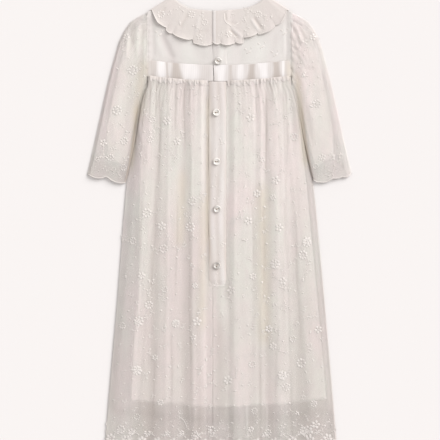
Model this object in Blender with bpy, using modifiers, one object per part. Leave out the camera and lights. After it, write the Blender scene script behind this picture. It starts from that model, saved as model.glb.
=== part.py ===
"""Baby dress of lace over a plain lining, laid flat on its front with the back up.

The source works in millimetres and MM turns them into metres. X runs across from the
centre line, the wearer's left is at -X, and +Y points to the shoulders. Tables give a
depth, measured down from the two neck points. The cloth lies in level layers: the
outer front, the inner front, the inner back, then the outer back, all parted by SEAM.
"""

import math

import bmesh
import bpy
import numpy as np
from mathutils import Vector

NAME = "baby_dress"
MM = 0.001

# Cloth and layers
WALL = 1.0
SEAM = 0.3
LAYER = WALL + SEAM
OUTER_FRONT = WALL / 2
INNER_FRONT = OUTER_FRONT + LAYER
INNER_BACK = INNER_FRONT + LAYER
OUTER_BACK = INNER_BACK + LAYER
OVERLAP = OUTER_BACK + LAYER

# Overall sizes
LENGTH = 688.0
SHOULDER_FOLD_REACH = 2.1
MIDDLE_DEPTH = (LENGTH - SHOULDER_FOLD_REACH) / 2
LEFT = -1
RIGHT = 1

# Neck, shoulders and armholes
NECK_HALF = 70.0
ARMHOLE_X = 106.2
ARMHOLE_DEPTH = 22.5
UNDERARM_X = 109.7
UNDERARM_DEPTH = 133.5
NECKLINE = {
    # (distance from the centre line, depth)
    "back": ((0.0, 21.0), (23.0, 19.0), (44.0, 16.5), (58.0, 9.5), (64.0, 5.0), (70.0, 0.0)),
    "front": ((0.0, 45.0), (20.0, 43.0), (40.0, 36.0), (55.0, 26.0), (64.0, 14.0), (70.0, 0.0)),
}
SEAM_STEP = 10.0

# Centre back opening: the right half laps over the left
LEFT_HALF_EDGE = -8.3
RIGHT_HALF_EDGE = -8.0
YOKE_PLACKET_WIDTH = 18.0

# Satin ribbon round the high waist, a little higher at its ends
RIBBON_DEPTH = 102.0
RIBBON_RISE = 7.5
RIBBON_WIDTH = 24.5
RIBBON_LEFT_END = -10.0
RIBBON_RIGHT_START = -6.8

# Skirt
HEM_RISE = 9.0
SKIRT_SPLIT = -10.5
SCALLOPS_EACH_HALF = 7
SCALLOP_DEPTH = 5.0
SCALLOP_POINTS = 6
SKIRT_EDGE = (
    # (depth, half width)
    (118.0, 108.0),
    (133.5, 109.0),
    (139.5, 112.5),
    (162.0, 118.5),
    (184.5, 122.0),
    (208.5, 126.0),
    (240.0, 132.0),
    (277.5, 140.0),
    (334.5, 145.5),
    (454.5, 155.5),
    (574.5, 166.0),
    (634.5, 171.0),
    (688.0, 175.5),
)
# Share of the way from waist to hem of each row of the gathered back
SKIRT_ROWS = (0.0, 0.026, 0.04, 0.077, 0.16, 0.216, 0.283, 0.42, 0.62, 0.865, 0.9, 0.95, 1.0)
GATHERS_EACH_HALF = 14
GATHER_COLUMNS = 3
GATHER_HEIGHT = 1.7
GATHER_FADE = 55.0
SKIRT_PUFF = 3.0
FLAT_BY_PLACKET = 15.0
PUFF_EASE = 12.0
SIDE_DROP = 16.0
LINING_MARGIN = 1.5
HEM_DROP_START = 8.0
HEM_DROP_LENGTH = 20.0
SKIRT_FOLDS = (
    # (x at waist, x at hem, half width at waist, half width at hem, depth at waist, depth at hem)
    (-91.0, -106.5, 7.0, 10.0, 2.2, 2.9),
    (-53.4, -51.5, 8.0, 12.0, 2.6, 2.9),
    (-31.0, -28.0, 5.0, 9.0, 0.0, 1.4),
    (56.0, 46.0, 5.0, 7.0, 1.6, 0.5),
    (69.0, 73.0, 6.0, 11.0, 2.4, 2.9),
    (105.0, 123.0, 8.0, 12.0, 1.2, 1.8),
)

# Lining of the skirt, which ends above the lace hem
LINING_HEM = 614.0
LINING_HEM_RISE = 9.5
LINING_EDGE = (
    # (depth, left half width, right half width)
    (108.0, 103.0, 103.0),
    (133.5, 102.0, 103.0),
    (184.5, 108.0, 112.0),
    (277.5, 122.0, 130.0),
    (454.5, 129.0, 147.0),
    (614.0, 134.0, 161.0),
)

# Long placket over the centre of the skirt
PLACKET_LEFT = -16.0
PLACKET_WIDTH = 26.0
PLACKET_END = 435.0
PLACKET_MIDDLE = PLACKET_LEFT + PLACKET_WIDTH / 2

# Collar, in two halves that fold over the shoulders to the front
COLLAR_BACK = (
    # (neckline x, neckline depth, outer x, outer depth), from the centre to the shoulder
    (0.0, 21.2, 0.0, 73.5),
    (14.0, 20.2, 15.0, 73.5),
    (30.0, 18.5, 41.0, 71.5),
    (44.0, 16.7, 62.0, 62.0),
    (57.0, 10.5, 79.0, 51.5),
    (65.0, 4.5, 93.0, 40.0),
    (70.0, 0.0, 103.5, 20.8),
)
COLLAR_FRONT = (
    (0.0, 45.0, 0.0, 90.0),
    (25.0, 42.0, 36.0, 87.0),
    (44.0, 33.5, 64.0, 75.0),
    (57.0, 24.0, 82.0, 59.0),
    (65.5, 12.0, 96.0, 41.0),
    (70.0, 0.0, 103.5, 20.8),
)
COLLAR_LEFT_EDGE = 10.5
COLLAR_RIGHT_EDGE = -5.25
COLLAR_FRONT_EDGE = 1.5
COLLAR_LOBES = 5
COLLAR_LOBE_COLUMNS = 6
COLLAR_FOLD_COLUMNS = 4
COLLAR_FRONT_COLUMNS = 8
COLLAR_ROWS = 4
COLLAR_SCALLOP = 2.2
COLLAR_RUFFLE = 2.4
COLLAR_FOLD_RADIUS = (OUTER_BACK - OUTER_FRONT) / 2
COLLAR_STEP_EASE = 8.0

# Sleeves: each row is a line across the sleeve from its outer to its inner edge
SLEEVE = (
    # (outer x, outer depth, inner depth, puff above the lining)
    (106.8, 22.8, 133.5, 1.2),
    (119.3, 27.8, 136.5, 2.4),
    (132.8, 36.0, 141.0, 2.7),
    (142.5, 49.5, 148.5, 2.7),
    (150.0, 64.5, 156.0, 2.5),
    (155.3, 82.5, 163.5, 2.3),
    (162.8, 109.5, 175.5, 2.0),
    (170.3, 139.5, 190.5, 1.7),
    (177.8, 174.0, 210.0, 1.4),
    (186.0, 211.5, 234.0, 1.0),
    (192.8, 241.5, 256.5, 0.6),
    (198.7, 265.5, 274.0, 0.3),
)
SLEEVE_CLEARANCE = 1.6
SLEEVE_SEAM = 0.7
SLEEVE_ACROSS = 16
SLEEVE_EDGE_INSET = 1.8
SLEEVE_EDGE_DROP = 0.8
SLEEVE_CROWN_POWER = 10
SLEEVE_GATHERS = 8
SLEEVE_GATHER_HEIGHT = 1.3
SLEEVE_GATHER_FADE = 0.16
CUFF_SCALLOPS = 3
CUFF_SCALLOP_DEPTH = 4.0

# Sleeve lining, a flat tube inside the sleeve that stops above the cuff
SLEEVE_LINING_END = 0.82
SLEEVE_LINING_SLANT = 0.09
SLEEVE_LINING_ACROSS = 4
SLEEVE_LINING_ROWS = 6
SLEEVE_LINING_OUTER = (0.1, 0.24)
SLEEVE_LINING_INNER = (0.06, 0.12)
SLEEVE_LINING_START = 0.01

# Shell buttons: x, depth and the height of the cloth they are sewn to
BUTTON_DIAMETER = 11.0
BUTTON_HEIGHT = 2.4
BUTTON_SIDES = 16
BUTTONS = (
    ("button_1", -2.0, 96.0, OUTER_BACK),
    ("button_2", -4.8, 173.4, OVERLAP),
    ("button_3", -4.4, 247.0, OVERLAP),
    ("button_4", -3.5, 318.0, OVERLAP),
    ("button_5", -3.8, 402.8, OVERLAP),
)

# Finishes: sRGB colour, roughness
LACE = ("lace", (226, 218, 213), 0.85)
LINING = ("lining", (232, 224, 219), 0.75)
YOKE = ("yoke_cloth", (234, 228, 225), 0.8)
SATIN = ("satin_ribbon", (240, 232, 226), 0.3)
SHELL = ("shell_button", (238, 233, 228), 0.25)


def finish(look):
    """The Principled material of one finish, made once and then shared."""
    name, colour, roughness = look
    material = bpy.data.materials.get(name)
    if material is None:
        material = bpy.data.materials.new(name)
        material.use_nodes = True
        shader = material.node_tree.nodes["Principled BSDF"]
        linear = [((channel / 255 + 0.055) / 1.055) ** 2.4 for channel in colour]
        shader.inputs["Base Color"].default_value = (*linear, 1.0)
        shader.inputs["Roughness"].default_value = roughness
        shader.inputs["Metallic"].default_value = 0.0
    return material


def world_point(x, depth, height):
    """A point from its distance across, its depth below the neck points and its height."""
    return Vector((x, MIDDLE_DEPTH - depth, height)) * MM


def ease(value):
    """A smooth step from 0 to 1."""
    value = min(max(value, 0.0), 1.0)
    return value * value * (3 - 2 * value)


def mix(start, end, share):
    """The value that lies a share of the way from start to end."""
    return start + (end - start) * share


def column(table, key, value, at):
    """Reads one column of a table at a value of another of its columns."""
    return float(np.interp(at, [row[key] for row in table], [row[value] for row in table]))


def scallop(share, lobes):
    """How far a scalloped edge reaches out, from 0 in a notch to 1 at a lobe's tip."""
    return abs(math.sin(math.pi * lobes * share))


def add_object(name, shape, look):
    """Puts a mesh or curve in the dress's collection with its finish."""
    shape.materials.append(finish(look))
    obj = bpy.data.objects.new(name, shape)
    bpy.data.collections[NAME].objects.link(obj)
    return obj


def cloth(name, columns, rows, place, look):
    """A sheet or tube of cloth, whose middle runs through place(u, v) for u and v of 0 to 1."""
    grid = bmesh.new()
    bmesh.ops.create_grid(grid, x_segments=columns, y_segments=rows, size=0.5)
    for vert in grid.verts:
        vert.co = place(vert.co.x + 0.5, vert.co.y + 0.5)
    bmesh.ops.remove_doubles(grid, verts=grid.verts, dist=0.01 * MM)
    mesh = bpy.data.meshes.new(name)
    grid.to_mesh(mesh)
    grid.free()
    obj = add_object(name, mesh, look)
    wall = obj.modifiers.new("Wall", "SOLIDIFY")
    wall.thickness = WALL * MM
    wall.offset = 0.0
    wall.use_even_offset = True
    wall.use_quality_normals = True
    return obj


def panel(name, outline, height, look):
    """A flat panel of cloth, cut to an outline of (x, depth) points."""
    curve = bpy.data.curves.new(name, "CURVE")
    curve.dimensions = "2D"
    curve.fill_mode = "BOTH"
    curve.extrude = WALL / 2 * MM
    line = curve.splines.new("POLY")
    line.points.add(len(outline) - 1)
    for point, (x, depth) in zip(line.points, outline):
        point.co = (*world_point(x, depth, 0.0), 1.0)
    line.use_cyclic_u = True
    obj = add_object(name, curve, look)
    obj.location.z = height * MM
    return obj


# Outlines that several pieces share

def armhole_x(depth):
    """The armhole seam, a nearly upright line from the shoulder to the underarm."""
    share = (depth - ARMHOLE_DEPTH) / (UNDERARM_DEPTH - ARMHOLE_DEPTH)
    return mix(ARMHOLE_X, UNDERARM_X, share) - SEAM


def top_edge(x, neckline):
    """Depth of a yoke panel's top edge: the neckline, then the shoulder slope."""
    if abs(x) <= NECK_HALF:
        return column(NECKLINE[neckline], 0, 1, abs(x))
    return ARMHOLE_DEPTH * (abs(x) - NECK_HALF) / (ARMHOLE_X - NECK_HALF)


def ribbon_top(x):
    """Depth of the ribbon's upper edge."""
    return RIBBON_DEPTH - RIBBON_RISE * (x / ARMHOLE_X) ** 2


def waist_seam(x):
    """Depth of the seam behind the ribbon, where yoke and lining meet."""
    return ribbon_top(x) + RIBBON_WIDTH / 2


def yoke_foot(x):
    """Depth of the yoke's lower edge, on its side of the waist seam."""
    return waist_seam(x) - SEAM / 2


def skirt_half_width(depth):
    """Half the width of the laid skirt at a depth."""
    return column(SKIRT_EDGE, 0, 1, depth)


def lining_reach(side, depth):
    """How far the skirt lining reaches to one side at a depth."""
    return column(LINING_EDGE, 0, 1 if side == LEFT else 2, depth)


def panel_end(x, depth):
    """A panel's x, taken out to the armhole seam where the panel ends in it."""
    return math.copysign(armhole_x(depth), x) if abs(x) >= ARMHOLE_X else x


def edge_run(start, end, depth_at):
    """Points of a panel's edge from one x to another, about SEAM_STEP apart."""
    count = max(1, round(abs(end - start) / SEAM_STEP))
    return [(x, depth_at(x)) for x in (mix(start, end, i / count) for i in range(count + 1))]


def band(start, end, upper, lower):
    """Outline of a bodice panel between two edges, each given as a depth for an x."""

    def run(first, last, depth_at):
        ends = (panel_end(x, depth) for x, depth in edge_run(first, last, depth_at))
        return [(x, depth_at(x)) for x in ends]

    return run(start, end, upper) + run(end, start, lower)


# Yoke and ribbon

def yoke(name, neckline, start, end, layer):
    """One flat yoke panel between two x positions, with a corner at each neck point."""
    corners = {start, end}
    for x, _ in NECKLINE[neckline]:
        corners.update(side * x for side in (LEFT, RIGHT) if start < side * x < end)
    above = [(panel_end(x, ARMHOLE_DEPTH), top_edge(x, neckline)) for x in sorted(corners)]
    below = [(panel_end(x, depth), depth) for x, depth in edge_run(end, start, yoke_foot)]
    panel(name, above + below, layer, YOKE)


def ribbon(name, start, end, layer):
    """A stretch of the flat ribbon between two x positions."""
    outline = band(start, end, ribbon_top, lambda x: ribbon_top(x) + RIBBON_WIDTH)
    panel(name, outline, layer, SATIN)


def build_bodice():
    """Yoke panels, their placket and the ribbon."""
    yoke("yoke_front", "front", -ARMHOLE_X, ARMHOLE_X, INNER_FRONT)
    yoke("yoke_back_left", "back", -ARMHOLE_X, LEFT_HALF_EDGE, INNER_BACK)
    yoke("yoke_back_right", "back", RIGHT_HALF_EDGE, ARMHOLE_X, INNER_BACK)
    ribbon("ribbon_front", -ARMHOLE_X, ARMHOLE_X, OUTER_FRONT)
    ribbon("ribbon_back_left", -ARMHOLE_X, RIBBON_LEFT_END, OUTER_BACK)
    ribbon("ribbon_back_right", RIBBON_RIGHT_START, ARMHOLE_X, OUTER_BACK)
    placket_end = RIGHT_HALF_EDGE + YOKE_PLACKET_WIDTH
    top = edge_run(RIGHT_HALF_EDGE, placket_end, lambda x: top_edge(x, "back"))
    bottom = edge_run(placket_end, RIGHT_HALF_EDGE, lambda x: ribbon_top(x) - SEAM)
    panel("placket_yoke", top + bottom, OUTER_BACK, YOKE)


# Skirt

def skirt_waist(x):
    """Depth of the gathered upper edge of the skirt, just under the ribbon."""
    return ribbon_top(x) + RIBBON_WIDTH + SEAM


def hem_edge(x, share, lobes):
    """Depth of the scalloped hem, which rises a little to the sides."""
    rise = HEM_RISE * (x / skirt_half_width(LENGTH)) ** 2
    return LENGTH - rise - SCALLOP_DEPTH * (1 - scallop(share, lobes))


def back_height(x, depth):
    """Height of the laid back skirt: soft puffs, long folds and a drop to each side and hem."""
    waist = skirt_waist(0)
    down = min(max((depth - waist) / (LENGTH - waist), 0.0), 1.0)
    height = SKIRT_PUFF
    for waist_x, hem_x, waist_width, hem_width, waist_depth, hem_depth in SKIRT_FOLDS:
        away = (x - mix(waist_x, hem_x, down)) / mix(waist_width, hem_width, down)
        height -= mix(waist_depth, hem_depth, down) * math.exp(-away * away)
    height = max(height, 0.0)
    height *= ease((abs(x - PLACKET_MIDDLE) - FLAT_BY_PLACKET) / PUFF_EASE)
    half_width = skirt_half_width(depth)
    edge = half_width - abs(x)
    room = half_width - lining_reach(LEFT if x < 0 else RIGHT, depth) - LINING_MARGIN
    fall = ease(edge / min(room, SIDE_DROP))
    lining_end = lining_hem(x / half_width)
    over_lining = 1 - ease((depth - lining_end - HEM_DROP_START) / HEM_DROP_LENGTH)
    bottom = mix(INNER_FRONT, OUTER_BACK, fall * over_lining)
    return bottom + height * ease(edge / PUFF_EASE)


def gather_height(share, x, depth):
    """The small gathers that fade below the ribbon."""
    fade = math.exp(-max(depth - skirt_waist(x), 0.0) / GATHER_FADE)
    fade *= ease((abs(x - PLACKET_MIDDLE) - FLAT_BY_PLACKET) / PUFF_EASE)
    wave = 0.5 - 0.5 * math.cos(2 * math.pi * GATHERS_EACH_HALF * share)
    return GATHER_HEIGHT * fade * wave


def skirt_back(name, side, split):
    """One gathered half of the back skirt, from its side to the split at the centre."""
    columns = GATHERS_EACH_HALF * GATHER_COLUMNS
    rows = len(SKIRT_ROWS) - 1

    def place(u, v):
        waist = skirt_waist(mix(side * ARMHOLE_X, split, u))
        hem = hem_edge(mix(side * skirt_half_width(LENGTH), split, u), u, SCALLOPS_EACH_HALF)
        depth = mix(waist, hem, SKIRT_ROWS[round(v * rows)])
        x = mix(side * skirt_half_width(depth), split, u)
        return world_point(x, depth, back_height(x, depth) + gather_height(u, x, depth))

    return cloth(name, columns, rows, place, LACE)


def skirt_front():
    """The front skirt, which lies flat on the surface."""
    lobes = 2 * SCALLOPS_EACH_HALF
    points = lobes * SCALLOP_POINTS
    hem = []
    for i in range(points + 1):
        across = 2 * i / points - 1
        depth = hem_edge(across * skirt_half_width(LENGTH), i / points, lobes)
        hem.append((across * skirt_half_width(depth), depth))
    top_half = skirt_half_width(skirt_waist(ARMHOLE_X)) - SEAM
    top = edge_run(-top_half, top_half, skirt_waist)
    right = [(half, depth) for depth, half in SKIRT_EDGE if top[-1][1] < depth < hem[-1][1]]
    left = [(-half, depth) for half, depth in right[::-1]]
    return panel("skirt_front", top + right + hem[::-1] + left, OUTER_FRONT, LACE)


def lining_hem(across):
    """Depth of the lining's hem at a share of the half width."""
    return LINING_HEM - LINING_HEM_RISE * across * across


def skirt_lining(name, layer):
    """A flat lining panel from the waist seam to its plain hem."""
    top_left = -lining_reach(LEFT, waist_seam(ARMHOLE_X))
    top_right = lining_reach(RIGHT, waist_seam(ARMHOLE_X))
    top = edge_run(top_left, top_right, lambda x: waist_seam(x) + SEAM / 2)
    right = [(reach, depth) for depth, _, reach in LINING_EDGE[1:-1]]
    left = [(-reach, depth) for depth, reach, _ in LINING_EDGE[1:-1]]
    hem_left = -lining_reach(LEFT, lining_hem(1))
    hem_right = lining_reach(RIGHT, lining_hem(1))
    hem = edge_run(hem_right, hem_left, lambda x: lining_hem(x / hem_right))
    return panel(name, top + right + hem + left[::-1], layer, LINING)


def build_skirt():
    """Skirt panels, their lining and the long placket."""
    skirt_front()
    skirt_lining("lining_front", INNER_FRONT)
    skirt_lining("lining_back", INNER_BACK)
    skirt_back("skirt_back_left", LEFT, SKIRT_SPLIT - SEAM / 2)
    skirt_back("skirt_back_right", RIGHT, SKIRT_SPLIT + SEAM / 2)
    outline = band(PLACKET_LEFT, PLACKET_LEFT + PLACKET_WIDTH, skirt_waist, lambda x: PLACKET_END)
    panel("placket_skirt", outline, OVERLAP, LACE)


# Collar

def collar_line(table, edge, share):
    """Neckline and outer point of the collar a share of the way from its edge to the shoulder."""
    last = len(table) - 1
    points = [float(np.interp(share * last, range(last + 1), [row[i] for row in table])) for i in range(4)]
    points[0] = mix(edge, NECK_HALF, points[0] / NECK_HALF)
    points[2] = mix(edge, table[-1][2], points[2] / table[-1][2])
    return points


def collar(name, side, back_edge):
    """One collar half: ruffled on the back, folded over the shoulder, flat on the front."""
    back = COLLAR_LOBES * COLLAR_LOBE_COLUMNS
    fold = back + COLLAR_FOLD_COLUMNS
    columns = fold + COLLAR_FRONT_COLUMNS
    out = Vector((ARMHOLE_DEPTH, ARMHOLE_X - NECK_HALF)).normalized()

    def back_point(share, v):
        neck_x, neck_depth, outer_x, outer_depth = collar_line(COLLAR_BACK, back_edge, share)
        reach = 1 - COLLAR_SCALLOP * (1 - scallop(share, COLLAR_LOBES)) / 50 * v
        x = side * mix(neck_x, outer_x, v * reach)
        depth = mix(neck_depth, outer_depth, v * reach)
        ruffle = COLLAR_RUFFLE * v ** 1.5 * scallop(share, COLLAR_LOBES) ** 2
        placket_end = RIGHT_HALF_EDGE + YOKE_PLACKET_WIDTH
        over = 0.0
        if side == RIGHT:
            over = LAYER * (1 - ease((x - placket_end - 1) / COLLAR_STEP_EASE))
        return world_point(x, depth, OUTER_BACK + over + ruffle)

    def fold_point(turn, v):
        line = collar_line(COLLAR_BACK, back_edge, 1.0)
        angle = math.pi * turn
        away = COLLAR_FOLD_RADIUS * math.sin(angle)
        x = side * (mix(line[0], line[2], v) + out.x * away)
        depth = mix(line[1], line[3], v) - out.y * away
        middle = (OUTER_FRONT + OUTER_BACK) / 2
        return world_point(x, depth, middle + COLLAR_FOLD_RADIUS * math.cos(angle))

    def front_point(share, v):
        neck_x, neck_depth, outer_x, outer_depth = collar_line(COLLAR_FRONT, COLLAR_FRONT_EDGE, share)
        x = side * mix(neck_x, outer_x, v)
        return world_point(x, mix(neck_depth, outer_depth, v), OUTER_FRONT)

    def place(u, v):
        step = round(u * columns)
        if step <= back:
            return back_point(step / back, v)
        if step <= fold:
            return fold_point((step - back) / COLLAR_FOLD_COLUMNS, v)
        return front_point(1 - (step - fold) / COLLAR_FRONT_COLUMNS, v)

    return cloth(name, columns, COLLAR_ROWS, place, LACE)


# Sleeves

def sleeve_line(share):
    """Ends and puff of the line across the sleeve, a share of the way to the cuff."""
    last = len(SLEEVE) - 1
    outer_x, outer_depth, inner_depth, puff = (
        float(np.interp(share * last, range(last + 1), [row[i] for row in SLEEVE])) for i in range(4)
    )
    inner_x = skirt_half_width(inner_depth) + SLEEVE_CLEARANCE
    outer = Vector((outer_x, outer_depth))
    inner = Vector((max(inner_x, UNDERARM_X + SLEEVE_SEAM), inner_depth))
    return outer, inner, puff


def ring_step(u, across):
    """Place round a flat tube: share across, and 1 on its upper wall, 0 below, 0.5 at an edge."""
    step = round(u * (2 * across + 4)) % (2 * across + 4)
    if step <= across:
        return step / across, 1.0
    if step == across + 1:
        return 1.0, 0.5
    if step <= 2 * across + 2:
        return (2 * across + 2 - step) / across, 0.0
    return 0.0, 0.5


def sleeve(name, side):
    """A flat-laid sleeve, softly puffed on top, gathered at the armhole, scalloped at the cuff."""

    def place(u, v):
        across, level = ring_step(u, SLEEVE_ACROSS)
        outer, inner, puff = sleeve_line(v)
        along = (inner - outer).normalized()
        if level != 0.5:
            outer = outer + along * SLEEVE_EDGE_INSET
            inner = inner - along * SLEEVE_EDGE_INSET
        spot = outer.lerp(inner, across)
        last_outer, last_inner, _ = sleeve_line(1.0)
        down = Vector((-(last_inner - last_outer).y, (last_inner - last_outer).x)).normalized()
        if down.y < 0:
            down.negate()
        cuff = ease((v - 0.85) / 0.15) * CUFF_SCALLOP_DEPTH
        spot += down * cuff * scallop(across, CUFF_SCALLOPS)
        crown = 1 - abs(2 * across - 1) ** SLEEVE_CROWN_POWER
        gather = 0.5 - 0.5 * math.cos(2 * math.pi * SLEEVE_GATHERS * across)
        gather *= SLEEVE_GATHER_HEIGHT * math.exp(-v / SLEEVE_GATHER_FADE)
        arch = puff * math.sin(math.pi * across)
        top = OUTER_BACK - SLEEVE_EDGE_DROP * (1 - crown) + arch + gather * crown
        height = mix(OUTER_FRONT, top, level)
        return world_point(side * spot.x, spot.y, height)

    columns = 2 * SLEEVE_ACROSS + 4
    return cloth(name, columns, len(SLEEVE) - 1, place, LACE)


def sleeve_lining(name, side):
    """A flat tube in the sleeve, narrower than it and cut off on a slant above the cuff."""

    def place(u, v):
        across, level = ring_step(u, SLEEVE_LINING_ACROSS)
        end = SLEEVE_LINING_END + SLEEVE_LINING_SLANT * across
        share = mix(SLEEVE_LINING_START, end, v)
        outer, inner, _ = sleeve_line(share)
        start = mix(*SLEEVE_LINING_OUTER, v)
        stop = 1 - mix(*SLEEVE_LINING_INNER, v)
        if level != 0.5:
            inset = WALL / (inner - outer).length
            start += inset
            stop -= inset
        spot = outer.lerp(inner, mix(start, stop, across))
        return world_point(side * spot.x, spot.y, mix(INNER_FRONT, INNER_BACK, level))

    columns = 2 * SLEEVE_LINING_ACROSS + 4
    return cloth(name, columns, SLEEVE_LINING_ROWS, place, LINING)


# Buttons

def button(name, x, depth, cloth_height):
    """A turned shell button with a raised rim round its dished middle."""
    radius = BUTTON_DIAMETER / 2
    profile = (
        # (radius, height)
        (0.0, BUTTON_HEIGHT * 0.6),
        (radius * 0.55, BUTTON_HEIGHT * 0.66),
        (radius * 0.78, BUTTON_HEIGHT),
        (radius * 0.92, BUTTON_HEIGHT * 0.9),
        (radius, BUTTON_HEIGHT * 0.5),
        (radius * 0.9, 0.0),
        (0.0, 0.0),
    )
    mesh = bpy.data.meshes.new(name)
    points = [Vector((reach, 0.0, height)) * MM for reach, height in profile]
    mesh.from_pydata(points, [(i, i + 1) for i in range(len(points) - 1)], [])
    obj = add_object(name, mesh, SHELL)
    obj.location = world_point(x, depth, cloth_height + WALL / 2 + SEAM)
    turn = obj.modifiers.new("Turn", "SCREW")
    turn.axis = "Z"
    turn.steps = BUTTON_SIDES
    turn.render_steps = BUTTON_SIDES
    turn.use_merge_vertices = True
    turn.merge_threshold = 0.00001
    return obj


def main():
    """Clears the scene and builds every piece of the dress."""
    for obj in list(bpy.data.objects):
        bpy.data.objects.remove(obj, do_unlink=True)
    group = bpy.data.collections.new(NAME)
    bpy.context.scene.collection.children.link(group)
    build_skirt()
    build_bodice()
    collar("collar_left", LEFT, COLLAR_LEFT_EDGE)
    collar("collar_right", RIGHT, COLLAR_RIGHT_EDGE)
    for word, side in (("left", LEFT), ("right", RIGHT)):
        sleeve("sleeve_" + word, side)
        sleeve_lining("sleeve_lining_" + word, side)
    for row in BUTTONS:
        button(*row)


main()
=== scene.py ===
"""Looks of a baby dress of lace over a plain lining, laid flat with its back up.

Sizes are in millimetres. X runs across from the centre line, the wearer's left is at -X,
and a depth is measured down from the two neck points, towards -Y. The outlines and the
heights of the cloth repeat those of the solids, and finer folds are laid over them.
"""

import math

import bmesh
import bpy
import numpy as np
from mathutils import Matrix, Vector
from mathutils.bvhtree import BVHTree

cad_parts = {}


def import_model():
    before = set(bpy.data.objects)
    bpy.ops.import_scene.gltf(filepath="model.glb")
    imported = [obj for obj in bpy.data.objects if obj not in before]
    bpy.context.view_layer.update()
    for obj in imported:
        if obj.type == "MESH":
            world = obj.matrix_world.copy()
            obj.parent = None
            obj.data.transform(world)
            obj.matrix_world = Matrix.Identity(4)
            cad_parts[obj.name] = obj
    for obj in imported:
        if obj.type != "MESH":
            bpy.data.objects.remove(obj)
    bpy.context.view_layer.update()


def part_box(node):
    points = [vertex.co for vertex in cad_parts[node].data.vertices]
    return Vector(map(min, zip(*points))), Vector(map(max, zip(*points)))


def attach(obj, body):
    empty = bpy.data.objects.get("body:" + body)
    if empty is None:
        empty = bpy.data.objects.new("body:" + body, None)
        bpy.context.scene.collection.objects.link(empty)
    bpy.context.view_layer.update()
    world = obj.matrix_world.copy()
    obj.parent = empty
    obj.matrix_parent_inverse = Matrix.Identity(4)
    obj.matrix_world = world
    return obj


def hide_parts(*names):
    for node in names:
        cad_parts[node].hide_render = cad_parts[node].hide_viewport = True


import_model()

MM = 0.001
LEFT = -1
RIGHT = 1
SIDES = (("left", LEFT), ("right", RIGHT))
BODY = "root"
RANDOM = np.random.default_rng(11)

# Layers of the laid dress: the mid-height of each level
WALL = 1
SEAM = 0.3
LAYER = WALL + SEAM
OUTER_FRONT = WALL / 2
INNER_FRONT = OUTER_FRONT + LAYER
INNER_BACK = INNER_FRONT + LAYER
OUTER_BACK = INNER_BACK + LAYER
OVERLAP = OUTER_BACK + LAYER

# Thickness of the real cloths
NET_THICKNESS = 0.35
LINING_THICKNESS = 0.5
YOKE_THICKNESS = 0.6
RIBBON_THICKNESS = 0.4

# Overall sizes
LENGTH = 688
MIDDLE_DEPTH = LENGTH / 2 - 1.05

# Neck, shoulders and armholes
NECK_HALF = 70
ARMHOLE_X = 106.2
ARMHOLE_DEPTH = 22.5
UNDERARM_X = 109.7
UNDERARM_DEPTH = 133.5
NECKLINE = {
    # (distance from the centre line, depth)
    "back": ((0, 21), (23, 19), (44, 16.5), (58, 9.5), (64, 5), (70, 0)),
    "front": ((0, 45), (20, 43), (40, 36), (55, 26), (64, 14), (70, 0)),
}

# Centre back opening
LEFT_HALF_EDGE = -8.3
RIGHT_HALF_EDGE = -8
YOKE_PLACKET_WIDTH = 18
PLACKET_LEFT = -16
PLACKET_WIDTH = 26
PLACKET_END = 435
# How far the band curves down at its sides, how far it sinks at its end, and how deep its creases are
PLACKET_CROWN = 1.1
PLACKET_SINK = 1.7
PLACKET_SINK_START = 0.96
PLACKET_CREASE = 0.16
PLACKET_CREASE_SHADE = 0.16
PLACKET_LEFT_SHADE = 0.45
PLACKET_RIGHT_SHADE = 0.25
# How far the band reaches over the left half at the neck
PLACKET_REACH = 2.4
PLACKET_MIDDLE = PLACKET_LEFT + PLACKET_WIDTH / 2
# Depth where the edge of the opening starts to come back from its lean to the left, and over what length
LEAN_START = 72
LEAN_LENGTH = 56

# Edge of the yoke that covers the armhole seam
LIP_WIDTH = 6
LIP_REACH = 2.8
LIP_RISE = 1.5
LIP_BULGE = 0.2
LIP_UNEVEN = 0.15
LIP_WAVES = (1.9, 2, 7)

# Satin ribbon
RIBBON_REACH = 4.4
RIBBON_DEPTH = 102
RIBBON_RISE = 7.5
RIBBON_WIDTH = 24.5
RIBBON_LEFT_END = -9.1
RIBBON_RIGHT_START = RIBBON_LEFT_END + 1.1

# Skirt
HEM_RISE = 9
SKIRT_SPLIT = -10.5
SCALLOPS_EACH_HALF = 7
SCALLOP_DEPTH = 5
SKIRT_EDGE = (
    # (depth, half width)
    (118, 108), (133.5, 109), (139.5, 112.5), (162, 118.5), (184.5, 122),
    (208.5, 126), (240, 132), (277.5, 140), (334.5, 145.5), (454.5, 155.5),
    (574.5, 166), (634.5, 171), (688, 175.5),
)
SKIRT_LEAN = ((118, 0), (300, 0.8), (450, 2.2), (688, 2))
SKIRT_PUFF = 3
FLAT_BY_PLACKET = 15
PUFF_EASE = 12
# Width over which the skirt comes down to its side edge: the widest, and the narrowest by the sleeves
SIDE_DROP = 16
NARROW_DROP = 2
SIDE_EASE = 30
# How much of its level the skirt's edge keeps beside the armhole, down to a depth
UNDERARM_HELD = 0.75
UNDERARM_END = 175
# Depth where the skirt's edge comes free of the sleeve, and the shade beside it
SLEEVE_FREE = 250
SIDE_SHADE_END = 290
SIDE_LINE_START = 145
SIDE_SHADE_WIDTH = 9
SIDE_SHADE = 0.4
SIDE_LINE_SHADE = 0.9
LINING_MARGIN = 1.5
# The net comes down below the lining's hem
HEM_DROP_START = 8
HEM_DROP_LENGTH = 20
SKIRT_FOLDS = (
    # (x at waist, x at hem, half width at waist, half width at hem, depth at waist, depth at hem)
    (-91, -106.5, 7, 10, 2.2, 2.9), (-53.4, -51.5, 8, 12, 2.6, 2.9), (-31, -28, 5, 9, 0, 1.4),
    (56, 46, 5, 7, 1.6, 0.5), (69, 73, 6, 11, 2.4, 2.9), (105, 123, 8, 12, 1.2, 1.8),
)
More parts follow.
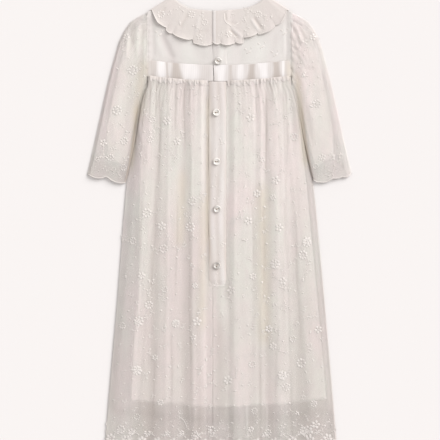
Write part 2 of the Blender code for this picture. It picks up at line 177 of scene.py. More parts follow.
# Faint streaks down the laid net, painted shade and light of small creases, drawn at random
STREAK_COUNT = 220
STREAK_DEPTHS = (130, 680)
STREAK_HALF_WIDTHS = (1.2, 4.5)
STREAK_HALF_LENGTHS = (20, 80)
STREAK_SHADES = (-0.12, 0.13)
# Painted shade of the skirt: 0 for plain, 1 for a deep fold
SKIRT_TONE = -0.02
FOLD_SHADE = 0.09
FINE_FOLD_SHADE = 0.08
WAIST_SHADE = 0.22
WAIST_SHADE_LENGTH = 14
LOWER_START = 230
LOWER_LENGTH = 330
LOWER_SHADE = 0.22
LEFT_SHADE = 0.13
OPENING_SHADES = (
    # (x, half width, start depth, end depth, shade) beside the placket and below it
    (-18.5, 3.4, 128, 420, 0.4), (11.5, 4, 280, 470, 0.35), (4, 8, 470, 640, 0.35),
)
# Bands turned to cream: a cream tint of the cloth, and painted warm shade along fold valleys, the
# placket's left edge and the gaps by the sleeves
CREAM_AND_WARM_SHADE_BANDS = (
    # (x at top, x at bottom, half width, start depth, end depth, share of cream)
    (-24, -26, 7, 290, 510, 0.35), (64, 68, 10, 270, 530, 0.45),
    (-55, -60, 8, 250, 385, 0.4), (-17, -18, 3, 140, 380, 0.5),
    (115, 131, 5, 105, 265, 0.7), (-112, -124, 9, 85, 195, 0.5),
    (-124, -133, 4, 150, 270, 0.6), (104, 106, 6, 85, 135, 0.4),
)
FOLD_LINES = (
    # (x at top, x at bottom, start depth, end depth, half width, shade)
    (-102, -106, 128, 190, 1.6, 0.5), (-94, -98, 126, 185, 1.1, 0.55), (-110, -117, 128, 215, 1.2, 0.6),
    (-89.5, -91.5, 127, 320, 1.3, 0.4), (-79, -81, 127, 170, 1, 0.3), (-67, -66, 127, 215, 1.3, 0.45),
    (-52.5, -53, 127, 240, 1.3, 0.45), (-45, -46, 127, 160, 1, 0.35), (-31, -27, 127, 155, 1, 0.3),
    (-95, -104, 300, 480, 1.6, 0.3), (-64, -66, 300, 470, 1.6, 0.4), (-47, -43, 330, 620, 1.5, 0.3),
    (-97, -100, 520, 650, 1.6, 0.3), (-73, -72, 500, 640, 1.6, 0.35), (9, 10, 130, 300, 2, 0.35),
    (32, 33, 128, 150, 1, 0.35), (54.5, 56, 128, 190, 1.2, 0.45), (69, 70, 140, 300, 1.5, 0.7),
    (76, 78, 128, 178, 2.2, 0.35), (84, 88, 128, 160, 1, 0.35), (99.5, 101.5, 132, 290, 1.3, 0.4),
    (95, 100, 300, 400, 1.5, 0.35), (66, 65, 300, 470, 3, 0.6), (48.5, 50, 300, 420, 1.6, 0.35),
    (60, 62, 470, 640, 3, 0.3), (88, 80, 480, 640, 1.6, 0.25), (112, 122, 320, 560, 1.8, 0.25),
    (-116, -122, 300, 430, 1.6, 0.3), (41, 41.5, 606, 684, 1.3, -0.6), (69, 71, 606, 684, 1.3, -0.6),
    (99, 99, 606, 630, 1.1, -0.5), (-45, -46, 610, 650, 1.1, -0.3),
)
# How deep and dark a fold line is at full strength
LINE_DIP = 0.75
LINE_SHADE = 0.7
LINE_SWAY = 0.8
LINE_START_FADE = 0.12
LINE_END_FADE = 0.35
FOLD_SHARE = 0.72
# Net without lining behind it, with painted shade: darker where sheer, lighter again on the side strips,
# darker at the right edge and over the front
SHEER_START = 200
SHEER_SHADE = 0.2
STRIP_SHADES = {LEFT: -0.22, RIGHT: -0.03}
RIGHT_EDGE_START = 95
RIGHT_EDGE_SHADE = 0.14
FRONT_SHADE = 1.2
FRONT_WAVE_SHADE = 0.25
# Each uneven wave has its length, its sway and the length of the sway
FRONT_WAVES = (9, 1.5, 31)
# Narrower creases between the long folds: ridges are above 0, troughs below
FINE_FOLDS = (
    # (x at waist, x at hem, half width at waist, half width at hem, height at waist, height at hem)
    (-101, -138, 2.5, 5, 0.5, 0.9), (-84, -128, 2, 4, -0.5, -0.6), (-75, -82, 2.5, 4, 0.6, 0.9),
    (-66, -70, 2, 5, -0.5, 0.4), (-43, -38, 2.2, 3.2, 0.7, 0.8), (-27, -21, 2, 3, 0.5, 0.6),
    (18, 13, 2.5, 4, 0.5, -0.7), (27, 28, 3, 5, -0.6, 0.7), (38, 37, 2.5, 4, 0.6, -0.4),
    (49, 61, 2, 3, 0.5, -0.6), (62, 64, 2, 3, 0.7, 0.5), (83, 92, 3, 6, 0.5, 0.9),
    (94, 108, 2, 3, -0.6, -0.7), (99, 141, 2.5, 5, 0.5, 0.8),
)
GATHERS_EACH_HALF = 24
GATHER_HEIGHTS = (0.3, 1.15)
GATHER_LENGTHS = (14, 90)
GATHER_WIDTH = 0.36

# Lining of the skirt
LINING_HEM = 614
LINING_HEM_RISE = 9.5
LINING_EDGE = (
    # (depth, left half width, right half width)
    (108, 105, 105), (133.5, 107, 107), (162, 114, 115), (184.5, 116, 118),
    (277.5, 120, 130), (454.5, 122, 147), (520, 130, 153), (614, 134, 161),
)
LINING_FOLLOWS = 0.5
LINING_START = 8
LINING_HEM_WAVES = (
    # (x, how far the hem hangs lower)
    (-134, 1), (-110, -1), (-88, 1.5), (-60, -3), (-50, 1), (-20, 1),
    (20, 1.5), (56, -1), (72, 1), (95, 0.5), (130, -1), (161, -2.5),
)

# Collar
COLLAR_BACK = (
    # (neckline x, neckline depth, outer x, outer depth), from the centre to the shoulder
    (0, 21.2, 0, 73.5), (14, 20.2, 15, 73.5), (30, 18.5, 41, 71.5), (44, 16.7, 62, 62),
    (57, 10.5, 79, 51.5), (65, 4.5, 93, 40), (70, 0, 103.5, 20.8),
)
COLLAR_FRONT = (
    (0, 45, 0, 90), (25, 42, 36, 87), (44, 33.5, 64, 75), (57, 24, 82, 59), (65.5, 12, 96, 41),
    (70, 0, 103.5, 20.8),
)
COLLAR_BACK_EDGE = {LEFT: 10.2, RIGHT: -10.6}
COLLAR_FRONT_EDGE = 1.5
COLLAR_FOLD_RADIUS = (OUTER_BACK - OUTER_FRONT) / 2
COLLAR_STEP_EASE = 8
COLLAR_BACK_END = 0.66
COLLAR_FOLD_END = 0.74
# Lobes of the ruffled edge, as shares of the way from the centre to the shoulder
COLLAR_LOBES = {
    LEFT: (0, 0.288, 0.563, 0.673, 1),
    RIGHT: (0, 0.12, 0.27, 0.352, 0.52, 0.76, 1),
}
# How high each lobe rises, and how far it is drawn back at its start and at its end
COLLAR_RUFFLES = {LEFT: (2, 3.2, 1.6, 3), RIGHT: (1, 2.6, 1.8, 3.4, 2.6, 1.6)}
COLLAR_INSETS = {
    LEFT: ((0, 0), (6, 1), (1, 0), (3, 0)),
    RIGHT: ((3, 1), (1, 0), (2, 0), (6.5, 5), (1.5, 0), (0, 0)),
}
COLLAR_SCALLOP = 3
COLLAR_WIDTH = 50
COLLAR_BELLY = 0.9
COLLAR_PLEATS = 11
COLLAR_PLEAT_RISE = 0.06
# The folded strip along the right half's edge with its painted highlight and a painted dark line at its
# end, and the shade of the whole collar
COLLAR_STRIP_END = -4.4
COLLAR_STRIP_SHADE = 0.5
COLLAR_EDGE_ROUND = 2.5
COLLAR_TONE = 0.5
PLACKET_TONE = COLLAR_TONE - 0.2
COLLAR_CREASES = (
    # (x, depth, x, depth, half width, height)
    (12, 46, 31, 65, 1.8, -0.8), (16, 44, 36, 62, 2.2, 0.6), (49, 28, 66, 52, 2.6, -1),
    (45, 30, 60, 54, 2.4, 0.6), (8, 22, 10, 38, 1.6, -0.6), (10, 37, 30, 42, 1.6, -0.5),
    (-46, 22, -62, 50, 3, -0.6), (-30, 24, -36, 58, 3, 0.5), (-80, 14, -92, 30, 2.6, -0.6),
    (-14, 50, -40, 54, 2.4, -0.4),
)

# Sleeves: each row is a line across the sleeve from its outer to its inner edge
SLEEVE = (
    # (outer x, outer depth, inner depth, puff above the lining)
    (106.8, 22.8, 133.5, 1.2), (119.3, 27.8, 136.5, 2.4), (132.8, 36, 141, 2.7),
    (142.5, 49.5, 148.5, 2.7), (150, 64.5, 156, 2.5), (155.3, 82.5, 163.5, 2.3),
    (162.8, 109.5, 175.5, 2), (170.3, 139.5, 190.5, 1.7), (177.8, 174, 210, 1.4), (186, 211.5, 234, 1),
    (192.8, 241.5, 256.5, 0.6), (198.7, 265.5, 274, 0.3),
)
SLEEVE_RUN = tuple(math.hypot(row[0] - SLEEVE[0][0], row[1] - SLEEVE[0][1]) for row in SLEEVE)
SLEEVE_SHADES = {LEFT: 0.12, RIGHT: 0.05}
# Shade of the unlined outer strip and of the cuff
UNLINED_SHADES = {LEFT: (0.06, 0.26), RIGHT: (0.1, 0.1)}
SLEEVE_CLEARANCE = (
    # (depth, how far the sleeve's inner edge lies from the skirt's)
    (133, -2), (165, -1.4), (200, -0.6), (240, -0.1), (262, 0.5), (275, 1.2),
)
SLEEVE_SEAM = -0.6
SLEEVE_LEVEL = OUTER_BACK - 0.4
SLEEVE_CREASE_SHADE = 0.18
SLEEVE_CREASE_SHARE = 0.75
SLEEVE_RIPPLE = 0.15
SLEEVE_SIDE_START = 60
# Width over which the sleeve rounds off at its edges, and how much of its puff each side has
SLEEVE_OUTER_EDGE = {LEFT: 5, RIGHT: 8}
PUFF_SHARE = {LEFT: 0.55, RIGHT: 1}
SLEEVE_INNER_EDGE = 1.4
SLEEVE_GATHERS = 11
SLEEVE_GATHER_HEIGHT = 1.1
SLEEVE_GATHER_FADE = 0.15
CUFF_EDGE = {
    # (share across from the outer edge, how far the uneven scallops reach)
    LEFT: (
        (0, 1), (0.08, 3), (0.2, 4.9), (0.32, 5), (0.42, 3), (0.48, 0.6), (0.53, 1.8),
        (0.62, 4.8), (0.74, 7), (0.86, 7.3), (0.95, 6.6), (1, 4.5),
    ),
    RIGHT: (
        (0, -1), (0.05, 2), (0.13, 4.4), (0.21, 3.9), (0.26, 2.6), (0.33, 4.4), (0.43, 4.2),
        (0.5, 3.2), (0.58, 6), (0.68, 7.5), (0.78, 7), (0.84, 5.8), (0.9, 5.8), (0.96, 3), (1, 0),
    ),
}
CUFF_START = 0.85
SLEEVE_LINING_END = 0.885
SLEEVE_LINING_SLANT = 0.02
# How far inside the sleeve's edges its lining lies at the top and at its end, as shares of the width
SLEEVE_LINING_OUTER = (0.1, 0.24)
SLEEVE_LINING_CORNER = {LEFT: 0.16, RIGHT: 0.1}
SLEEVE_LINING_INNER = (0.06, 0.12)
SLEEVE_LINING_START = 0.01

# Soft creases, each along a straight line: ridges are above 0, troughs below
SLEEVE_CREASES = {
    # (x, depth, x, depth, half width, height), with x measured out from the centre line
    LEFT: (
        (129, 34, 133, 78, 3.2, -2), (137, 46, 140, 96, 2.6, 1.1), (122, 30, 124, 96, 3, 1.1),
        (115, 40, 118, 76, 2.6, -1), (112, 60, 113, 120, 2.5, 0.7), (138, 50, 146, 110, 5, 0.7),
        (144, 100, 162, 232, 6, 0.8), (133, 120, 146, 220, 5, -0.7), (152, 90, 174, 200, 4, -0.6),
    ),
    RIGHT: (
        (109, 42, 122, 78, 2.4, -1.1), (114, 36, 134, 74, 3, -1.1), (112, 36, 127, 76, 2.2, 0.8),
        (107, 58, 125, 111, 3, -1), (122, 106, 147, 111, 2.5, -0.7), (118, 90, 145, 210, 6, 0.7),
        (140, 60, 152, 120, 4, 0.8), (150, 100, 168, 220, 5, -0.6), (128, 150, 140, 230, 4, -0.6),
    ),
}
YOKE_CREASES = (
    # (x, depth, x, depth, half width, height)
    (-99, 50, -80, 102, 4, 0.4), (-90, 46, -62, 112, 5, -1.5), (-52, 66, -44, 106, 9, 0.5),
    (-28, 76, -26, 106, 7, -0.4), (-99, 40, -98, 100, 3, -0.5), (96, 34, 98, 100, 3, 0.6),
    (86, 48, 74, 104, 6, -0.5), (62, 66, 54, 106, 8, 0.5), (34, 74, 32, 104, 6, -0.4),
)
CREASE_FADE = 0.3
CREASE_SHADE = 0.4
YOKE_TONE = 0.2
YOKE_SIDE_SHADE = 0.12
# Painted shade of the gathers beside the left armhole
ARMHOLE_SHADE = 0.25
ARMHOLE_WAVE_SHADE = 0.12
ARMHOLE_WAVES = (2.3, 3, 9)

# Puckers of the satin ribbon
RIBBON_PUCKERS = (
    # (x, half width, lean towards the lower edge, painted light above 0 and painted shade below, which
    # also tilts each pucker)
    (-99, 5, 0, -0.7), (-87, 6, 1, 1), (-78.5, 2.2, 2, -0.9), (-64.5, 8.5, 2.5, -1.3),
    (-44, 12, 1, 0.8), (-20, 8, -1, -0.35), (2, 8.5, 1, 0.9), (16.5, 4, 0, -0.8), (31.5, 5, 0, 0.8),
    (48, 7, -1.5, -1.3), (66, 9, 3, 1), (85.5, 7, 1, -1.3), (95.5, 1.8, 0, 1.2), (102.5, 4.5, 0, -0.6),
)
# Painted shade of the ribbon: its middle level, the hidden front, the turned ends, fine lines, and how far
# the puckers are painted lighter or darker
RIBBON_TONE = 0.45
RIBBON_FRONT_TONE = 0.4
RIBBON_END_SHADE = 0.5
RIBBON_FINE_SHADE = 0.06
PUCKER_SHADE = 0.45
RIBBON_PUCKER_HEIGHT = 0.7
PUCKER_SLOPE = 0.16
PUCKER_LINE = np.linspace(-ARMHOLE_X, ARMHOLE_X, 700)

# Frill under the ribbon
FRILL_DEPTH = 7
FRILL_SPAN = {LEFT: (-105, -17.5), RIGHT: (11.5, 105)}
FRILL_WAVES = 12
FRILL_TONE = COLLAR_TONE - 0.1
FRILL_TOP_SHADE = 0.35
FRILL_WAVE_SHADE = 0.15
FRILL_SHADE_WAVES = (2.7, 2, 11)

# Buttons, with two holes each and the thread through them
BUTTON_DIAMETER = 11
BUTTON_HEIGHT = 2.4
BUTTON_HOLE = 1.8
BUTTON_HOLE_OFFSET = 1.5
BUTTON_PROFILE = (
    # (share of the radius, share of the height), from the upper middle to the lower
    (0, 0.62), (0.3, 0.62), (0.52, 0.66), (0.62, 0.74), (0.7, 0.9), (0.77, 0.99), (0.85, 1),
    (0.93, 0.92), (0.985, 0.72), (1, 0.5), (0.97, 0.25), (0.88, 0.04), (0.8, 0), (0, 0),
)
BUTTON_STEPS = 48
BUTTON_RIM = 0.64
BUTTON_RIM_SHADE = 0.2
BUTTON_CLOUD = 0.3
BUTTONS = (
    # (name, turn of its holes in degrees, tone)
    ("button_1", -35, 0.3), ("button_2", 4, 0), ("button_3", -8, 0.12),
    ("button_4", 14, 0.3), ("button_5", 75, 0.55),
)
THREAD_RADIUS = 0.22
THREAD_SHIFTS = (-0.42, 0, 0.42)
THREAD_STEPS = 10
# The thread is painted in deep gap shade, a painted shadow in the slot between the holes
BUTTON_THREAD_SHADE = 1.7

# Net and embroidery
NET_CELL = 1.15
NET_THREAD = 0.19
PAD_SEGMENTS = 9
CORD_SINK = 0.12
OVERHANG = 1.5
FRONT_STITCH_RISE = 0.22

# Colours of each finish, as sRGB from 0 to 255
LACE_COLOUR = (241, 235, 233)
THREAD_COLOUR = (222, 216, 212)
# Colour of the thread in painted shade
THREAD_SHADE = (205, 198, 194)
COLLAR_COLOUR = (215, 209, 207)
LINING_COLOUR = (241, 236, 233)
YOKE_COLOUR = (219, 215, 212)
SATIN_COLOUR = (225, 220, 219)
# Painted shade colours that the cloths turn to in folds, shadows and, deepest, in gaps
SATIN_SHADE = (188, 178, 172)
LACE_SHADE = (200, 190, 184)
LINING_SHADE = (202, 191, 186)
YOKE_SHADE = (194, 186, 183)
GAP_SHADE = (176, 154, 134)
# Cream tint, which also serves as painted warm shade in folds and gaps
CREAM = (219, 208, 190)
SHELL_COLOUR = (232, 228, 224)
SHELL_SHADE = (150, 143, 137)
FLOOR_COLOUR = (222, 218, 217)
SKY_COLOUR = (255, 254, 253)
PINKISH = (1.004, 0.98, 0.98)
GREYISH = (0.98, 0.993, 0.975)

# Camera and light, in metres
PHOTO_MIDDLE = (0.00075, 0.00845)
PHOTO_SPAN = 0.66
CAMERA_SENSOR = 36
CAMERA_LENS = 120
CLOTH_LEVEL = 0.005
KEY_FROM = (0.8, 0.6, 0.66)
KEY_SPREAD = 0.7
KEY_STRENGTH = 2.95
SKY_STRENGTH = 0.79
FLOOR_SIZE = 4


# Numbers

def ease(value):
    """A smooth step from 0 to 1."""
    value = np.clip(value, 0, 1)
    return value * value * (3 - 2 * value)


def mix(start, end, share):
    """The value that lies a share of the way from start to end."""
    return start + (end - start) * share


def column(table, key, value, at):
    """Reads one column of a table at a value of another of its columns."""
    return np.interp(at, [row[key] for row in table], [row[value] for row in table])


def hill(away):
    """A soft bump, 1 at its middle."""
    return np.exp(-away * away)


def span(at, start, end, soft):
    """1 between start and end, easing down to 0 at both."""
    return ease((at - start) / soft) * ease((end - at) / soft)


def uneven_wave(at, length, sway, sway_length):
    """A wave that a slower one stretches and squeezes."""
    return np.sin(at / length + sway * np.sin(at / sway_length))


def scallop(share, lobes):
    """How far a scalloped edge reaches out, from 0 in a notch to 1 at a lobe's tip."""
    return np.abs(np.sin(np.pi * lobes * share))


def linear(colour):
    """An sRGB colour from 0 to 255 as the linear colour that a shader takes."""
    return (*(((channel / 255 + 0.055) / 1.055) ** 2.4 for channel in colour), 1)


def creases(x, depth, table):
    """Summed height of soft ridges and troughs along straight lines that fade at their ends."""
    total = np.zeros(np.shape(x))
    for x1, depth1, x2, depth2, half_width, height in table:
        run_x = x2 - x1
        run_depth = depth2 - depth1
        length = math.hypot(run_x, run_depth)
        along = ((x - x1) * run_x + (depth - depth1) * run_depth) / length ** 2
        away = ((x - x1) * run_depth - (depth - depth1) * run_x) / length
        fade = ease(along / CREASE_FADE) * ease((1 - along) / CREASE_FADE)
        total += height * fade * hill(away / half_width)
    return total


# Finishes

def shader_tree(name, colour, roughness, sockets):
    """A material with its Principled shader, whose plain values are set on its own sockets."""
    material = bpy.data.materials.new(name)
    material.use_nodes = True
    tree = material.node_tree
    shader = tree.nodes["Principled BSDF"]
    shader.inputs["Base Color"].default_value = linear(colour)
    shader.inputs["Roughness"].default_value = roughness
    for socket, value in sockets.items():
        shader.inputs[socket].default_value = value
    return material, tree, shader


def node(tree, kind, inputs=(), **settings):
    """Adds a node; each input is a value or another node's output."""
    added = tree.nodes.new(kind)
    for key, value in settings.items():
        setattr(added, key, value)
    for key, value in dict(inputs).items():
        if isinstance(value, bpy.types.NodeSocket):
            tree.links.new(value, added.inputs[key])
        else:
            added.inputs[key].default_value = value
    return added


def object_place(tree, scale=(1, 1, 1)):
    """The object's own coordinates, stretched by a scale."""
    coordinates = node(tree, "ShaderNodeTexCoord").outputs["Object"]
    return node(tree, "ShaderNodeMapping", {"Vector": coordinates, "Scale": scale}).outputs["Vector"]


def ramp(tree, value, low, high, start=0, end=1, kind="SMOOTHSTEP"):
    """Maps a value from one range to another."""
    inputs = {"Value": value, "From Min": low, "From Max": high, "To Min": start, "To Max": end}
    return node(tree, "ShaderNodeMapRange", inputs, interpolation_type=kind).outputs["Result"]


def blend(tree, factor, first, second):
    """Mixes two colours by a factor."""
    mixer = node(tree, "ShaderNodeMix", data_type="RGBA")
    tree.links.new(factor, mixer.inputs[0])
    for socket, colour in ((mixer.inputs[6], first), (mixer.inputs[7], second)):
        if isinstance(colour, bpy.types.NodeSocket):
            tree.links.new(colour, socket)
        else:
            socket.default_value = colour
    return mixer.outputs[2]


def shaded(colour, amount):
    """A colour made a little darker and warmer."""
    return tuple(channel * (1 - amount * share) for channel, share in zip(colour, (0.85, 1, 1.15)))


def toned(colour, shares):
    """A colour with its channels multiplied."""
    return tuple(channel * share for channel, share in zip(colour, shares))


def mottle(tree, colour, amount, scale):
    """A cloth colour with soft pinkish, greyish and darker patches drawn out along its length."""
    place = object_place(tree, (scale, scale * 0.35, scale))
    noise = node(tree, "ShaderNodeTexNoise", {"Vector": place, "Scale": 1, "Detail": 3})
    patches = ramp(tree, noise.outputs["Fac"], 0.38, 0.62)
    tinted = blend(tree, patches, linear(toned(colour, PINKISH)), linear(toned(colour, GREYISH)))
    fine = object_place(tree, (scale * 5, scale * 2.5, scale * 5))
    speckle = node(tree, "ShaderNodeTexNoise", {"Vector": fine, "Scale": 1, "Detail": 2})
    share = ramp(tree, speckle.outputs["Fac"], 0.45, 0.75)
    return blend(tree, share, tinted, linear(shaded(colour, amount)))


def in_shade(tree, colour, shade):
    """A cloth's colour with painted shade, warmer and darker in folds and most in gaps, and a cream tint
    partly of painted warm shade.
    """
    depth = node(tree, "ShaderNodeAttribute", attribute_name="shade").outputs["Fac"]
    folded = blend(tree, ramp(tree, depth, 0, 1, kind="LINEAR"), colour, linear(shade))
    # Cream tint and painted warm shade, stored at each point
    cream_and_warm_shade = node(tree, "ShaderNodeAttribute", attribute_name="cream_and_warm_shade").outputs["Fac"]
    folded = blend(tree, cream_and_warm_shade, folded, linear(CREAM))
    return blend(tree, ramp(tree, depth, 1, 2, kind="LINEAR"), folded, linear(GAP_SHADE))


def bump(tree, shader, height, distance, strength=0.6):
    """Raises a surface by a height texture."""
    inputs = {"Height": height, "Distance": distance * MM, "Strength": strength}
    tree.links.new(node(tree, "ShaderNodeBump", inputs).outputs["Normal"], shader.inputs["Normal"])


def net_edge(tree):
    """Distance from the threads of a fine net of many-sided meshes, in cells."""
    inputs = {"Vector": object_place(tree), "Scale": 1 / (NET_CELL * MM), "Randomness": 0.35}
    cells = node(tree, "ShaderNodeTexVoronoi", inputs, voronoi_dimensions="2D", feature="DISTANCE_TO_EDGE")
    return cells.outputs["Distance"]


def net_finish():
    """Soft ivory net: threads round open meshes that show what lies behind."""
    material, tree, shader = shader_tree(
        "lace_net", LACE_COLOUR, 0.8, {"Sheen Weight": 0.25, "Sheen Roughness": 0.5}
    )
    edge = net_edge(tree)
    half_thread = NET_THREAD / NET_CELL
    thread = ramp(tree, edge, half_thread * 0.75, half_thread * 1.15, 1, 0)
    tree.links.new(thread, shader.inputs["Alpha"])
    ground = mottle(tree, LACE_COLOUR, 0.04, 22)
    tree.links.new(in_shade(tree, ground, LACE_SHADE), shader.inputs["Base Color"])
    bump(tree, shader, thread, 0.12)
    return material


def weave_height(tree, pitch):
    """Height of a plain weave: threads along X over threads along Y."""
    place = object_place(tree)
    scale = math.pi / (10 * pitch * MM)
    inputs = {}
    for i, way in enumerate("XY"):
        wave = node(tree, "ShaderNodeTexWave", {"Vector": place, "Scale": scale}, bands_direction=way)
        inputs[i] = wave.outputs["Fac"]
    return node(tree, "ShaderNodeMath", inputs, operation="MULTIPLY").outputs[0]


def lining_finish():
    """Plain soft weave with a faint sheen."""
    material, tree, shader = shader_tree(
        "lining_weave", LINING_COLOUR, 0.7, {"Sheen Weight": 0.2, "Sheen Roughness": 0.4}
    )
    weave = weave_height(tree, 0.5)
    ground = mottle(tree, LINING_COLOUR, 0.05, 16)
    woven = blend(tree, ramp(tree, weave, 0, 0.7, 0.25, 0), ground, linear(shaded(LINING_COLOUR, 0.12)))
    tree.links.new(in_shade(tree, woven, LINING_SHADE), shader.inputs["Base Color"])
    bump(tree, shader, weave, 0.06)
    return material


def close_net_finish(name, colour, shade):
    """The same net laid close over plain cloth."""
    material, tree, shader = shader_tree(
        name, colour, 0.75, {"Sheen Weight": 0.25, "Sheen Roughness": 0.45}
    )
    half_thread = NET_THREAD / NET_CELL
    thread = ramp(tree, net_edge(tree), half_thread * 0.7, half_thread * 1.4, 1, 0)
    ground = mottle(tree, shaded(colour, 0.04), 0.04, 30)
    netted = blend(tree, thread, ground, linear(colour))
    tree.links.new(in_shade(tree, netted, shade), shader.inputs["Base Color"])
    bump(tree, shader, thread, 0.15)
    return material


def satin_finish():
    """Satin with fine lengthwise floats, with painted shade and painted highlights in its puckers."""
    material, tree, shader = shader_tree(
        "satin", SATIN_COLOUR, 0.3, {"Anisotropic": 0.5, "Coat Weight": 0.15, "Coat Roughness": 0.3}
    )
    tree.links.new(in_shade(tree, linear(SATIN_COLOUR), SATIN_SHADE), shader.inputs["Base Color"])
    place = object_place(tree, (60, 2200, 60))
    floats = node(tree, "ShaderNodeTexNoise", {"Vector": place, "Scale": 1, "Detail": 2})
    bump(tree, shader, floats.outputs["Fac"], 0.04, 0.5)
    return material


def thread_finish():
    """Embroidery thread: close satin stitches that catch the light."""
    material, tree, shader = shader_tree(
        "embroidery_thread", THREAD_COLOUR, 0.6, {"Sheen Weight": 0.1, "Sheen Roughness": 0.4}
    )
    place = object_place(tree, (1, 0.6, 1))
    stitches = node(
        tree, "ShaderNodeTexWave",
        {"Vector": place, "Scale": 900, "Distortion": 1.5, "Detail": 1},
        bands_direction="DIAGONAL",
    ).outputs["Fac"]
    tone = blend(tree, stitches, linear(shaded(THREAD_COLOUR, 0.07)), linear(THREAD_COLOUR))
    tree.links.new(in_shade(tree, tone, THREAD_SHADE), shader.inputs["Base Color"])
    bump(tree, shader, stitches, 0.12)
    return material


def shell_finish():
    """Polished shell with cloudy pearl tones."""
    material, tree, shader = shader_tree(
        "shell", SHELL_COLOUR, 0.22, {"Coat Weight": 0.6, "Coat Roughness": 0.08}
    )
    noise = node(tree, "ShaderNodeTexNoise", {"Vector": object_place(tree), "Scale": 260, "Detail": 3})
    share = ramp(tree, noise.outputs["Fac"], 0.3, 0.7)
    pearl = blend(tree, share, linear(shaded(SHELL_COLOUR, 0.1)), linear(SHELL_COLOUR))
    tree.links.new(in_shade(tree, pearl, SHELL_SHADE), shader.inputs["Base Color"])
    bump(tree, shader, noise.outputs["Fac"], 0.05, 0.3)
    return material


def floor_finish():
    """A plain pale matt surface."""
    return shader_tree("floor", FLOOR_COLOUR, 0.9, {"Specular IOR Level": 0.1})[0]


NET = net_finish()
LINING = lining_finish()
YOKE = close_net_finish("yoke_cloth_net", YOKE_COLOUR, YOKE_SHADE)
COLLAR = close_net_finish("collar_lace", COLLAR_COLOUR, LACE_SHADE)
SATIN = satin_finish()
THREAD = thread_finish()
SHELL = shell_finish()


# Making pieces

def world(points):
    """Points of (x, depth, height) in millimetres as places in the frame."""
    x, depth, height = points
    return np.stack([x, MIDDLE_DEPTH - depth, height], axis=-1).reshape(-1, 3) * MM


def add_object(name, data):
    """Puts an object in the scene."""
    obj = bpy.data.objects.new(name, data)
    bpy.context.scene.collection.objects.link(obj)
    return obj


def as_mesh(shape, name):
    """The mesh of a finished shape."""
    mesh = bpy.data.meshes.new(name)
    shape.to_mesh(mesh)
    shape.free()
    return mesh


def baked(obj, *tools):
    """The mesh of an object as its modifiers leave it; the object and its tools are removed."""
    graph = bpy.context.evaluated_depsgraph_get()
    mesh = bpy.data.meshes.new_from_object(obj.evaluated_get(graph))
    for leftover in (obj, *tools):
        bpy.data.objects.remove(leftover, do_unlink=True)
    mesh.materials.clear()
    return mesh


def add_piece(name, mesh, material, replaced=()):
    """Puts a mesh in the scene as a piece of the dress."""
    mesh.materials.append(material)
    obj = add_object(name, mesh)
    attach(obj, BODY)
    if replaced:
        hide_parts(*replaced)
    return obj


def set_points(mesh, name, values):
    """Stores a value at each point of a mesh, for its material."""
    attribute = mesh.attributes.new(name, "FLOAT", "POINT")
    attribute.data.foreach_set("value", values.astype(np.float32).ravel())


def set_shade(mesh, values):
    """Stores the shade of each point: 0 for plain, 1 for a deep fold, 2 for a gap."""
    set_points(mesh, "shade", np.clip(values, 0, 2))


def cream_and_warm_shade(x, depth):
    """How far the cloth's colour turns to cream, 0 to 1: a cream tint, partly painted warm shade in folds
    and gaps.
    """
    total = np.zeros(np.shape(x))
    for top_x, bottom_x, half_width, start, end, amount in CREAM_AND_WARM_SHADE_BANDS:
        middle = mix(top_x, bottom_x, np.clip((depth - start) / (end - start), 0, 1))
        total += amount * span(depth, start, end, 25) * hill((x - middle) / half_width)
    return np.clip(total, 0, 1)


def cloth(name, columns, rows, place, thickness, material, slot, closed=False, solid=None, shade=None):
    """A sheet or a closed tube through place(u, v), for u and v of 0 to 1.

    It takes the place of the solid of its own name, or of the one that is named.
    """
    across = np.linspace(0, 1, columns + 1)
    if closed:
        across = across[:-1]
    u, v = np.meshgrid(across, np.linspace(0, 1, rows + 1))
    spots = np.broadcast_arrays(*place(u, v))
    count = len(across)
    row = np.arange(rows)[:, None] * count
    corner = row + np.arange(columns)
    beside = row + (np.arange(columns) + 1) % count
    faces = np.stack([corner, corner + count, beside + count, beside], axis=-1).reshape(-1, 4)
    mesh = bpy.data.meshes.new(name)
    mesh.from_pydata(world(spots).tolist(), [], faces.tolist())
    if mesh.polygons[(rows // 2) * columns + columns // 4].normal.z < 0:
        mesh.flip_normals()
    mesh.shade_smooth()
    obj = add_piece(name + "_cloth", mesh, material, (solid or name,))
    wall = obj.modifiers.new("Wall", "SOLIDIFY")
    wall.thickness = thickness * MM
    wall.offset = 0
    # Painted shade of each point, and its cream tint and painted warm shade
    if shade:
        set_shade(mesh, shade(*spots[:2]))
        set_points(mesh, "cream_and_warm_shade", cream_and_warm_shade(*spots[:2]))
    return obj


